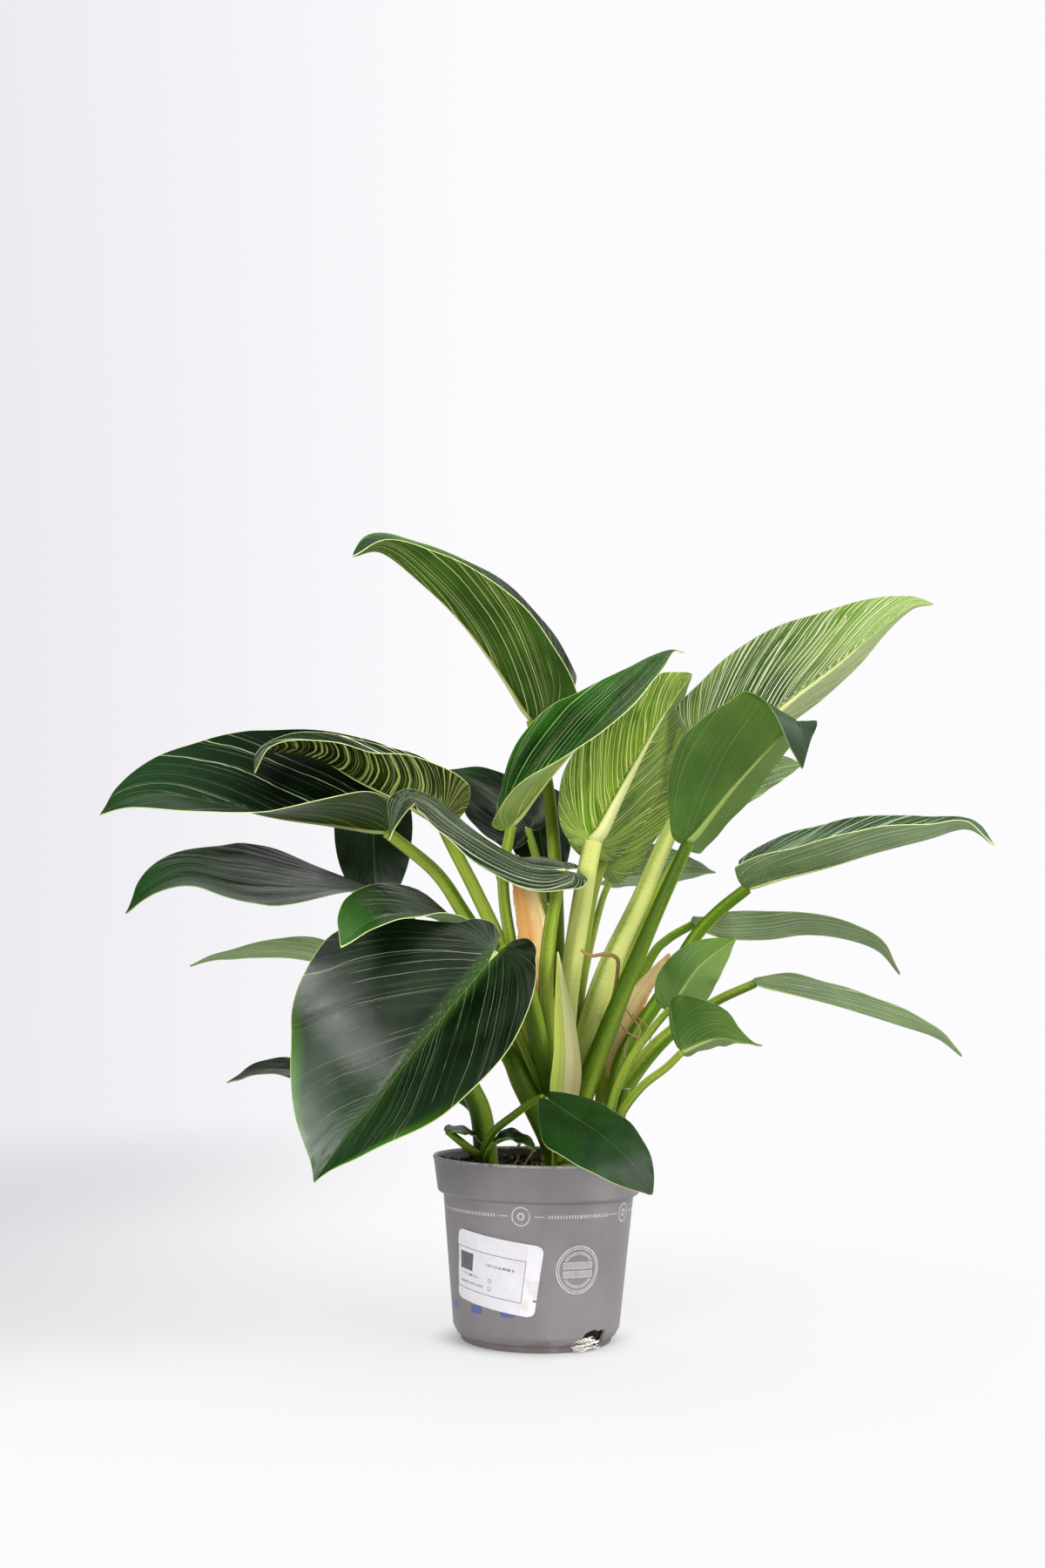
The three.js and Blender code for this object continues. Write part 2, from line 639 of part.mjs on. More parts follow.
function latheSolid(profile, sides) {
  const points = profile.map(([radius, height]) => new THREE.Vector2(radius, height));
  const geometry = new THREE.LatheGeometry(points, sides);
  geometry.rotateX(Math.PI / 2);
  return solidFrom(geometry);
}

// Turns something made at the front of the pot round to an angle on its wall.
function turnTo(geometry, angle) {
  return geometry.rotateZ(THREE.MathUtils.degToRad(angle));
}

function drainCut(angle) {
  const geometry = new THREE.BoxGeometry(DRAIN_WIDTH, DRAIN_DEPTH, DRAIN_TOP - DRAIN_BOTTOM);
  const inner = FOOT_RADIUS - POT_WALL;
  geometry.translate(0, -(inner + DRAIN_DEPTH / 2), (DRAIN_TOP + DRAIN_BOTTOM) / 2);
  return solidFrom(turnTo(geometry, angle));
}

function potSolid() {
  const lipFoot = POT_HEIGHT - LIP_HEIGHT;
  const inside = POT_WALL;
  const shell = latheSolid([
    [0, 0],
    [FOOT_RADIUS, 0],
    [FOOT_RADIUS + 0.6, FOOT_RING_HEIGHT],
    [FOOT_RADIUS + 2.4, FOOT_RING_HEIGHT + 1],
    [WALL_FOOT_RADIUS, BEVEL_HEIGHT],
    [WALL_TOP_RADIUS, lipFoot - 2],
    [LIP_FOOT_RADIUS - 0.6, lipFoot - 0.6],
    [LIP_FOOT_RADIUS, lipFoot + 0.4],
    [RIM_RADIUS, POT_HEIGHT - 1],
    [RIM_RADIUS - 0.5, POT_HEIGHT],
    [RIM_RADIUS - inside, POT_HEIGHT],
    [LIP_FOOT_RADIUS - inside, lipFoot + 1.4],
    [WALL_TOP_RADIUS - inside, lipFoot - 1],
    [WALL_FOOT_RADIUS - inside, BEVEL_HEIGHT + 0.6],
    [FOOT_RADIUS - 0.4, FOOT_RING_HEIGHT],
    [0, FOOT_RING_HEIGHT],
  ], POT_SIDES);
  return cutClear(shell, DRAIN_ANGLES.map(drainCut));
}

function soilSolid() {
  const gap = POT_WALL + CLEARANCE;
  const lipFoot = POT_HEIGHT - LIP_HEIGHT;
  const wallSlope = (RIM_RADIUS - LIP_FOOT_RADIUS) / LIP_HEIGHT;
  const edge = LIP_FOOT_RADIUS + (SOIL_LEVEL - lipFoot) * wallSlope - gap - 0.4;
  const points = [
    [0, FOOT_RING_HEIGHT + CLEARANCE],
    [FOOT_RADIUS - 1, FOOT_RING_HEIGHT + CLEARANCE],
    [WALL_FOOT_RADIUS - gap, BEVEL_HEIGHT + 1],
    [WALL_TOP_RADIUS - gap, lipFoot - 1],
    [LIP_FOOT_RADIUS - gap, lipFoot + 1.8],
    [edge, SOIL_LEVEL],
    [edge * 0.84, SOIL_LEVEL],
    [edge * 0.66, SOIL_LEVEL],
    [edge * 0.46, SOIL_LEVEL],
    [edge * 0.24, SOIL_LEVEL],
    [0, SOIL_LEVEL],
  ].map(([radius, height]) => new THREE.Vector2(radius, height));
  const geometry = new THREE.LatheGeometry(points, SOIL_SIDES);
  geometry.rotateX(Math.PI / 2);
  const position = geometry.attributes.position;
  for (let i = 0; i < position.count; i += 1) {
    if (position.getZ(i) > SOIL_LEVEL - 0.01) {
      const x = position.getX(i);
      const y = position.getY(i);
      const lump = Math.sin(0.31 * x + 1.3) * Math.cos(0.27 * y) + 0.6 * Math.sin(0.53 * y - 0.4 * x);
      position.setZ(i, SOIL_LEVEL + SOIL_LUMP * lump);
    }
  }
  return solidFrom(geometry);
}

function rootWadSolid(grow = 0) {
  const geometry = new THREE.SphereGeometry(1, 14, 8);
  const position = geometry.attributes.position;
  for (let i = 0; i < position.count; i += 1) {
    const x = position.getX(i);
    const y = position.getY(i);
    const z = position.getZ(i);
    const ridge = 1 + 0.12 * Math.sin(5 * x + 3 * z);
    position.setXYZ(
      i,
      (WAD_HALF[0] + grow) * x * ridge,
      (WAD_HALF[1] + grow) * y * ridge - WAD_OUT,
      (WAD_HALF[2] + grow) * z * ridge + WAD_HEIGHT,
    );
  }
  return solidFrom(turnTo(geometry, DRAIN_ANGLES[0] + 1));
}

function labelSolid() {
  const rise = (WALL_TOP_RADIUS - WALL_FOOT_RADIUS) / (POT_HEIGHT - LIP_HEIGHT - 2 - BEVEL_HEIGHT);
  const wallAt = (height) => WALL_FOOT_RADIUS + (height - BEVEL_HEIGHT) * rise;
  const inner = LABEL_GAP;
  const outer = inner + LABEL_THICKNESS;
  const [low, high] = [12, 74];
  const sleeve = latheSolid([
    [wallAt(low) + inner, low],
    [wallAt(low) + outer, low],
    [wallAt(high) + outer, high],
    [wallAt(high) + inner, high],
    [wallAt(low) + inner, low],
  ], 64);
  const [w, h, r] = [LABEL_WIDTH / 2, LABEL_HEIGHT / 2, LABEL_CORNER];
  const outline = new THREE.Shape();
  outline.absarc(w - r, h - r, r, 0, Math.PI / 2);
  outline.absarc(r - w, h - r, r, Math.PI / 2, Math.PI);
  outline.absarc(r - w, r - h, r, Math.PI, 1.5 * Math.PI);
  outline.absarc(w - r, r - h, r, 1.5 * Math.PI, 2 * Math.PI);
  const stamp = new THREE.ExtrudeGeometry(outline, { depth: 50, bevelEnabled: false, curveSegments: 3 });
  stamp.rotateZ(THREE.MathUtils.degToRad(LABEL_TILT));
  stamp.rotateX(Math.PI / 2);
  stamp.translate(0, -15, LABEL_CENTRE_HEIGHT);
  return largestPiece(sleeve.intersect(solidFrom(turnTo(stamp, LABEL_ANGLE))));
}

// ---- Materials ------------------------------------------------------------------------------

function finish(color, roughness) {
  return new THREE.MeshStandardMaterial({ color, roughness, metalness: 0 });
}

const finishes = {
  pot: () => finish(0x8a8688, 0.55),
  soil: () => finish(0x35261d, 1),
  label: () => finish(0xe9e7ea, 0.5),
  wad: () => finish(0xd9d2c8, 0.9),
  stem: () => finish(0x5f7a35, 0.6),
  stalk: () => finish(0x7d9c3e, 0.45),
  blade: () => finish(0x1f4a20, 0.35),
  drySheath: () => finish(0xb0763a, 0.8),
  paleSheath: () => finish(0xd9d49a, 0.6),
  root: () => finish(0x6b4426, 0.8),
};

// ---- Assembly -------------------------------------------------------------------------------

const group = new THREE.Group();

function add(name, solid, makeFinish) {
  const mesh = new THREE.Mesh(geometryFrom(solid), makeFinish());
  mesh.name = name;
  group.add(mesh);
}

// Things stand in the soil and against each other: each new one is cut back to a small gap
// from those already standing.
const standing = [];

function stand(name, part, makeFinish, sides = STALK_SIDES, steps = STALK_STEPS) {
  add(name, cutClear(tube(part, sides, steps), standing), makeFinish);
  standing.push(tube(part, sides, steps, CLEARANCE));
}

for (const stem of stems) {
  stand(stem.name, stem, finishes.stem, 12, 3);
}
stand("cut_stub", CUT_STUB, finishes.stem, 10, 2);

for (const leaf of largeLeaves) {
  const blade = bladeSolid(leaf, LARGE_LEAF);
  const bladeRoom = bladeSolid(leaf, LARGE_LEAF, CLEARANCE);
  add(`leaf_${leaf.name}_stalk`, cutClear(stalkTube(leaf), [...standing, bladeRoom]), finishes.stalk);
  add(`leaf_${leaf.name}_blade`, blade, finishes.blade);
  standing.push(stalkTube(leaf, CLEARANCE));
}
for (const leaf of smallLeaves) {
  const whole = stalkTube(leaf).add(bladeSolid(leaf, SMALL_LEAF));
  add(`leaf_${leaf.name}`, cutClear(whole, standing), finishes.blade);
  standing.push(stalkTube(leaf, CLEARANCE));
}

stand("sheath_pale", PALE_SHEATH, finishes.paleSheath);
stand("sheath_dry_left", DRY_SHEATH_LEFT, finishes.drySheath);
stand("sheath_dry_right", DRY_SHEATH_RIGHT, finishes.drySheath);
stand("aerial_root", AERIAL_ROOT, finishes.root, 6, 20);

add("pot", potSolid(), finishes.pot);
add("soil", cutClear(soilSolid(), [...standing, rootWadSolid(CLEARANCE)]), finishes.soil);
add("root_wad", rootWadSolid(), finishes.wad);
add("label", labelSolid(), finishes.label);

export default group;
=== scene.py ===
# The looks of a striped philodendron in its 12 cm nursery pot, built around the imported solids.
#
# Sizes in the tables are millimetres, as in the part's source; a Form turns them into metres.
# +Z is up, -Y is the front, and the origin is the middle of the pot's underside.
import math
import random

import bmesh
import bpy
import numpy as np
from mathutils import Matrix, Vector


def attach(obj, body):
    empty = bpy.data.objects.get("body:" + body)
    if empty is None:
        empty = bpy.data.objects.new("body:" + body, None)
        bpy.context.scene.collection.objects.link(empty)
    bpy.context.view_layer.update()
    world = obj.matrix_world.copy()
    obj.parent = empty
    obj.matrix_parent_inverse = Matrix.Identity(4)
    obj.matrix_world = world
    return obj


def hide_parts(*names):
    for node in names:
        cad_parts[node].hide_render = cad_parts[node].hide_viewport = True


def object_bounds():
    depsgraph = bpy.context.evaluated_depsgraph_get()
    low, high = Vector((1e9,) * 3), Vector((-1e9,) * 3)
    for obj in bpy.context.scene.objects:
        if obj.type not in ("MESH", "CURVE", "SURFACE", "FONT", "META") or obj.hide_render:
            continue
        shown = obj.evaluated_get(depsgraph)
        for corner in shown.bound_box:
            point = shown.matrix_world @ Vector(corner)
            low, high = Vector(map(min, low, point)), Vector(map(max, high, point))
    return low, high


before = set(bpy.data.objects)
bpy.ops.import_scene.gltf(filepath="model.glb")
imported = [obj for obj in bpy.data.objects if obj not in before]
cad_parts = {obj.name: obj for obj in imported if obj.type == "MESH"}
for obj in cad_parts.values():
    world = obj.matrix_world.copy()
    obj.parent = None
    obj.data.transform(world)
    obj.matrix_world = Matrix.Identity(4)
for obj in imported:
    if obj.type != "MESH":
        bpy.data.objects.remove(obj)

cad_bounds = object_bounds()

MM = 0.001

# Steps round for the soil and the floor; the pot has more.
COARSE_TURNS = 96

# ---- Pot, label and soil --------------------------------------------------------------------

RIM_RADIUS = 60
POT_HEIGHT = 100
LIP_FOOT = 81
LIP_FOOT_RADIUS = 57
WALL_TOP_RADIUS = 53.7
WALL_FOOT_RADIUS = 46.6
BEVEL_HEIGHT = 8
FOOT_RADIUS = 42
FOOT_RING_HEIGHT = 3
POT_WALL = 1.6
LIP_SLOPE = (RIM_RADIUS - LIP_FOOT_RADIUS) / (POT_HEIGHT - LIP_FOOT)
SOIL_LEVEL = 91
SOIL_EDGE = LIP_FOOT_RADIUS + (SOIL_LEVEL - LIP_FOOT) * LIP_SLOPE - POT_WALL - 0.5
SOIL_BODY = [
    (0, 3.4), (FOOT_RADIUS - 1.5, 3.4), (WALL_FOOT_RADIUS - 2, 9), (WALL_TOP_RADIUS - 2, 80),
    (LIP_FOOT_RADIUS - 2, 83), (SOIL_EDGE, SOIL_LEVEL - 1),
]

# How many crumbs lie on the soil, at the wall, on the rim and in the drain hole, and the fibres.
CRUMBS = 900
BANKED_CRUMBS = 560
RIM_CRUMBS = 60
WAD_CRUMBS = 44
SOIL_FIBRES = 46
WAD_FIBRES = 90
DRAIN_ANGLES = (42, 132, 222)
DRAIN_HALF_WIDTH = 8
DRAIN_LOW = 1.2
DRAIN_HIGH = 12
DRAIN_REACH = (-54, -36)
LABEL_SIZE = (52, 38)
LABEL_CORNER = 4
LABEL_GAP = 0.42
LABEL_THICKNESS = 0.2
LABEL_ANGLE = -29
LABEL_TILT = -7.5
LABEL_CENTRE_HEIGHT = 41.5

# The print on the pot: degrees round from the front, and millimetres up.
BAND_HEIGHT = 72.5
BAND_PITCH = 72
BAND_START = -10.8
STAMP_ANGLE = 25.3
STAMP_HEIGHT = 44.3
BLUE_ANGLES = (-69.3, -43.7, -19.6)
BLUE_HEIGHT = 21

# Half outline of a blade: along the rib (0 joint, 1 tip), out from the rib (1 is half the width).
HALF_OUTLINE = [
    (-0.11, 0.14), (-0.14, 0.38), (-0.1, 0.66), (0, 0.88), (0.14, 0.99), (0.3, 1),
    (0.48, 0.9), (0.66, 0.66), (0.82, 0.36), (0.93, 0.11), (1, 0),
]

# ---- Leaves: rib, faces and widths as in the part's source, with the finish of each face ------

STALK_DEPTH = 12
MARGIN_RIPPLE = 0.7
RIB_END = 0.985
RIB_SIDES = 12
RIB_STEPS = 40

# Steps along and across one half of a blade.
LARGE_GRID = (72, 14)
SMALL_GRID = (44, 9)

# stalk and rib are the places that their curves run through, and stalk_width runs from foot to joint.
# Pairs for fold, degrees that both halves rise at the rib, and curl, degrees that they bend back by the
# margin, are at the joint and at the tip; face is the way that the top faces, from joint to tip.
# Pairs for half (width), belly (widest place moved towards the tip), full (under 1 is fuller before the
# tip) and heel (narrower at the joint) are of the left and right half. lobe is how far both reach back.
# rib_pale and rib_stout are the colour and the thickness of the rib's underside.

# What most leaves share; each leaf below says where it differs.
USUAL = dict(
    margin="margin_green", rib_pale=0.5, rib_stout=0.5,
    curl=(0, 0), belly=(0, 0), full=(1, 1), heel=(0, 0),
)
LARGE_LEAVES = [
    dict(
        USUAL, name="01", top="deep_top", under="olive_under", petiole="stalk_olive", margin="margin_pale",
        rib_pale=0.8, rib_stout=0.7,
        stalk=[
            (12, 3, 104), (10, 3, 135), (10, 7, 172), (9, 10, 222),
            (7, 16, 268), (2, 19, 314), (-8, 16, 353),
        ],
        stalk_width=(11, 9, 8, 7),
        rib=[
            (-8, 16, 353), (-27, 0, 379), (-50, -16, 405),
            (-76, -30, 427), (-96, -42, 439), (-111, -50, 434),
        ],
        face=[(8, -3, 6), (8, -1, 6), (2, -1, 10)], half=(51, 52), fold=(49, 40), curl=(5, 5), lobe=0.4,
        full=(1, 0.75),
    ),
    dict(
        USUAL, name="02", top="fresh_top", under="pale_under", petiole="stalk_fresh", margin="margin_pale",
        rib_pale=0.9, rib_stout=0.8,
        stalk=[
            (10, -4, 108), (6, -5, 130), (-5, -12, 172),
            (-17, -20, 215), (-23, -22, 254), (-19, -27, 285),
        ],
        stalk_width=(10, 7, 7, 6),
        rib=[
            (-19, -27, 285), (1, -42, 311), (26, -52, 338),
            (52, -49, 366), (68, -45, 383), (77, -41, 384),
        ],
        face=[(-7, -2, 6), (-6, -5, 6), (-6, -5, 6)], half=(40, 34), fold=(38, 0), curl=(0, 5), lobe=0.2,
        belly=(0.05, 0.05), heel=(0.4, 0.4),
    ),
    dict(
        USUAL, name="03", top="striped_top", under="cream_under", petiole="stalk_cream", rib_pale=1,
        rib_stout=0.9,
        stalk=[(14, -4, 108), (14, -5, 135), (14, -6, 162), (16, -10, 197), (24, -16, 256), (28, -16, 278)],
        stalk_width=(15, 12, 12, 11),
        rib=[(28, -16, 278), (43, -18, 307), (59, -16, 337), (73, -10, 361), (85, -2, 379)],
        face=[(-6, 7, 4)], half=(42, 39), fold=(20, 20), curl=(10, 10), lobe=0.4, full=(0.65, 0.65),
        heel=(0, 0.3),
    ),
    dict(
        USUAL, name="04", top="striped_top", under="mottled_under", petiole="stalk_cream", rib_pale=1,
        rib_stout=0.7,
        stalk=[
            (16, -1, 108), (19, -3, 128), (27, -4, 165),
            (39, -2, 207), (56, 0, 245), (77, 4, 293), (99, 6, 328),
        ],
        stalk_width=(21, 18, 12, 10, 9),
        rib=[
            (99, 6, 328), (120, 2, 344), (144, -2, 365), (170, -6, 385),
            (195, -8, 407), (214, -8, 421), (227, -6, 423),
        ],
        face=[(-5, 7, 6)], half=(33, 46), fold=(31, 25), curl=(12, 12), lobe=0.2,
    ),
    dict(
        USUAL, name="05", top="plain_top", under="plain_under", petiole="stalk_green", rib_pale=0.15,
        rib_stout=0.7,
        stalk=[(17, -6, 102), (24, -12, 134), (42, -24, 184), (61, -34, 232), (80, -40, 276)],
        stalk_width=(14, 12, 10, 8, 7),
        rib=[
            (80, -40, 276), (101, -46, 303), (114, -52, 318), (127, -58, 332),
            (136, -68, 341), (137, -80, 333), (137, -86, 323), (136, -88, 312),
        ],
        face=[(-5, 7, 4), (-3, 6, 7), (8, -10, 3)], half=(25, 44), fold=(24, 10), curl=(5, 5), lobe=0.2,
        belly=(-0.1, 0.12), full=(1, 0.7), heel=(0, 0.65),
    ),
    dict(
        USUAL, name="06", top="brushed_top", under="grey_under", petiole="stalk_fresh",
        margin="margin_pale", rib_pale=0.7,
        stalk=[(38, 0, 108), (47, -2, 155), (70, 0, 193), (87, 3, 223), (102, 4, 240), (119, 6, 254)],
        stalk_width=(10, 9, 8, 7),
        rib=[
            (119, 6, 254), (136, 2, 260), (164, -4, 267), (193, -10, 276),
            (219, -16, 283), (241, -20, 289), (256, -24, 279),
        ],
        face=[(-3, -2, 9)], half=(37, 40), fold=(33, 33), lobe=0.1, heel=(0.25, 0),
    ),
    dict(
        USUAL, name="07", top="plain_top", under="grey_under", petiole="stalk_fresh",
        stalk=[(38, 4, 110), (40, 9, 140), (48, 16, 177), (65, 29, 213), (76, 37, 225), (91, 39, 234)],
        stalk_width=(8, 5),
        rib=[
            (91, 39, 234), (110, 36, 227), (134, 26, 226),
            (155, 20, 229), (176, 14, 227), (196, 10, 220), (208, 6, 206),
        ],
        face=[(1, 1, 10)], half=(34, 34), fold=(19, 14), lobe=0.1, full=(0.7, 0.7), heel=(0.6, 0.6),
    ),
    dict(
        USUAL, name="08", top="plain_top", under="grey_under", petiole="stalk_fresh",
        stalk=[(40, -2, 102), (44, -3, 130), (57, -4, 152), (76, -6, 172), (99, -6, 188), (122, -6, 199)],
        stalk_width=(12, 11, 9, 6, 5),
        rib=[
            (122, -6, 199), (147, -12, 193), (173, -18, 186),
            (199, -24, 178), (220, -28, 171), (233, -32, 161),
        ],
        face=[(3, 0, 10)], half=(27, 30), fold=(19, 19), lobe=0.1, full=(0.7, 0.7), heel=(0.7, 0.7),
    ),
    dict(
        USUAL, name="13", top="sparse_top", under="olive_under", petiole="stalk_fresh",
        margin="margin_pale", rib_pale=0.6, rib_stout=0.6,
        stalk=[
            (9, -1, 110), (0, -5, 135), (-16, -10, 176), (-35, -14, 219),
            (-46, -16, 237), (-62, -18, 259), (-90, -20, 281),
        ],
        stalk_width=(12, 11, 9, 8, 7),
        rib=[
            (-90, -20, 281), (-120, -32, 284), (-150, -46, 286), (-179, -60, 291),
            (-205, -74, 294), (-224, -82, 290), (-237, -86, 281),
        ],
        face=[(2, -3, 10), (1, -5, 8), (1, -6, 8)], half=(52, 62), fold=(52, 0), lobe=0.2,
        belly=(0.05, 0.05), heel=(0.5, 0),
    ),
    dict(
        USUAL, name="14", top="silver_top", under="cream_dark_under", petiole="stalk_fresh",
        margin="margin_pale", rib_pale=0.8, rib_stout=0.6,
        stalk=[
            (9, -6, 108), (2, -8, 140), (-9, -12, 177), (-24, -18, 218),
            (-39, -23, 249), (-52, -29, 273), (-58, -32, 285),
        ],
        stalk_width=(12, 11, 9, 8, 7),
        rib=[
            (-58, -32, 285), (-81, -38, 297), (-104, -44, 307), (-123, -50, 317),
            (-141, -56, 321), (-154, -60, 319), (-160, -62, 308),
        ],
        face=[(4, -1, 9), (4, -2, 9), (-5, -3, 8)], half=(36, 34), fold=(58, 16), lobe=0.4, full=(0.8, 0.8),
    ),
    dict(
        USUAL, name="15", top="silver_top", under="pale_under", petiole="stalk_fresh", margin="margin_pale",
        rib_pale=0.8, rib_stout=0.6,
        stalk=[
            (13, -9, 104), (11, -12, 130), (5, -22, 162),
            (2, -33, 191), (3, -45, 220), (7, -56, 246), (11, -58, 257),
        ],
        stalk_width=(20, 15, 9, 8, 6),
        rib=[
            (11, -58, 258), (-9, -62, 259), (-29, -66, 268), (-50, -70, 281),
            (-65, -74, 292), (-77, -78, 293), (-84, -82, 270),
        ],
        face=[(3, -3, 9), (5, -3, 8), (-7, -4, 6)], half=(29, 36), fold=(0, 0), curl=(15, 15), lobe=0.6,
    ),
    dict(
        USUAL, name="16", top="glare_top", under="mild_under", petiole="stalk_green", rib_stout=0.6,
        stalk=[
            (-29, -8, 92), (-33, -12, 123), (-42, -14, 144),
            (-56, -18, 186), (-71, -24, 224), (-88, -30, 246),
        ],
        stalk_width=(14, 12, 9, 7, 6),
        rib=[
            (-88, -30, 246), (-113, -42, 247), (-141, -54, 246), (-167, -66, 246),
            (-191, -78, 250), (-209, -86, 243), (-220, -90, 229),
        ],
        face=[(1, 0, 10), (1, -5, 9), (1, -4, 9)], half=(42, 46), fold=(8, 13), lobe=0.1,
        belly=(0.06, 0.06), full=(0.9, 1.3), heel=(0.3, 0.3),
    ),
    dict(
        USUAL, name="18", top="deep_top", under="mild_under", petiole="stalk_green", margin="margin_pale",
        rib_stout=0.6,
        stalk=[
            (11, -10, 104), (8, -14, 132), (-1, -32, 165),
            (-9, -52, 193), (-17, -68, 207), (-24, -82, 214),
        ],
        stalk_width=(13, 12, 10, 8),
        rib=[
            (-25, -86, 212), (-35, -92, 199), (-51, -100, 179), (-66, -106, 160),
            (-81, -110, 139), (-98, -116, 118), (-113, -120, 96),
        ],
        face=[(-4, -9, 3)], half=(57, 74), fold=(28, 20), curl=(8, 8), lobe=0.55, belly=(0.04, 0.09),
        full=(1.1, 1), heel=(0.35, 0.6),
    ),
    dict(
        USUAL, name="19", top="plain_top", under="grey_under", petiole="stalk_green", rib_pale=0.4,
        rib_stout=0.6,
        stalk=[
            (10, -12, 98), (4, -16, 114), (-10, -18, 140),
            (-21, -14, 160), (-51, 10, 181), (-94, 40, 190),
        ],
        stalk_width=(13, 12, 9, 5, 4),
        rib=[
            (-94, 40, 190), (-120, 36, 204), (-146, 32, 210),
            (-171, 26, 210), (-193, 20, 208), (-206, 16, 204),
        ],
        face=[(2, 3, 9)], half=(25, 25), fold=(15, 15), lobe=0.3,
    ),
    dict(
        USUAL, name="25", top="dark_top", under="mild_under", petiole="stalk_green", rib_pale=0.4,
        stalk=[
            (8, 4, 114), (2, 14, 136), (-11, 26, 186), (-20, 38, 228),
            (-24, 46, 257), (-34, 52, 278), (-67, 58, 303), (-105, 60, 310),
        ],
        stalk_width=(7, 5),
        rib=[(-105, 60, 310), (-104, 56, 283), (-102, 52, 256), (-100, 50, 226)],
        face=[(0, -10, 2)], half=(24, 24), fold=(5, 5), lobe=0.5,
    ),
    dict(
        USUAL, name="26", top="glare_top", under="mild_under", petiole="stalk_fresh", rib_pale=0.4,
        stalk=[(10, 5, 110), (8, 14, 140), (7, 24, 171), (3, 40, 223), (-2, 56, 266), (-9, 62, 292)],
        stalk_width=(7, 5),
        rib=[(-9, 62, 292), (-26, 64, 307), (-43, 68, 320), (-65, 72, 330)],
        face=[(3, -9, 4)], half=(24, 24), fold=(0, 0), lobe=0.5,
    ),
    dict(
        USUAL, name="27", top="dark_top", under="mild_under", petiole="stalk_green", rib_pale=0.4,
        stalk=[(13, 6, 112), (13, 36, 150), (12, 76, 195), (9, 96, 240), (2, 98, 288), (-6, 86, 315)],
        stalk_width=(7, 5),
        rib=[(-6, 84, 315), (-2, 82, 295), (2, 80, 273), (5, 78, 246)],
        face=[(0, -10, 2)], half=(20, 20), fold=(0, 0), lobe=0.5,
    ),
    dict(
        USUAL, name="28", top="striped_top", under="cream_under", petiole="stalk_fresh", rib_pale=0.9,
        rib_stout=0.8,
        stalk=[(15, 4, 112), (18, 6, 140), (21, 8, 187), (25, 10, 222), (30, 12, 252), (36, 14, 271)],
        stalk_width=(10, 9, 7, 6),
        rib=[(36, 14, 271), (54, 20, 300), (73, 28, 331), (90, 38, 362)],
        face=[(-5, 8, 3)], half=(34, 34), fold=(25, 15), curl=(10, 10), lobe=0.5,
    ),
]
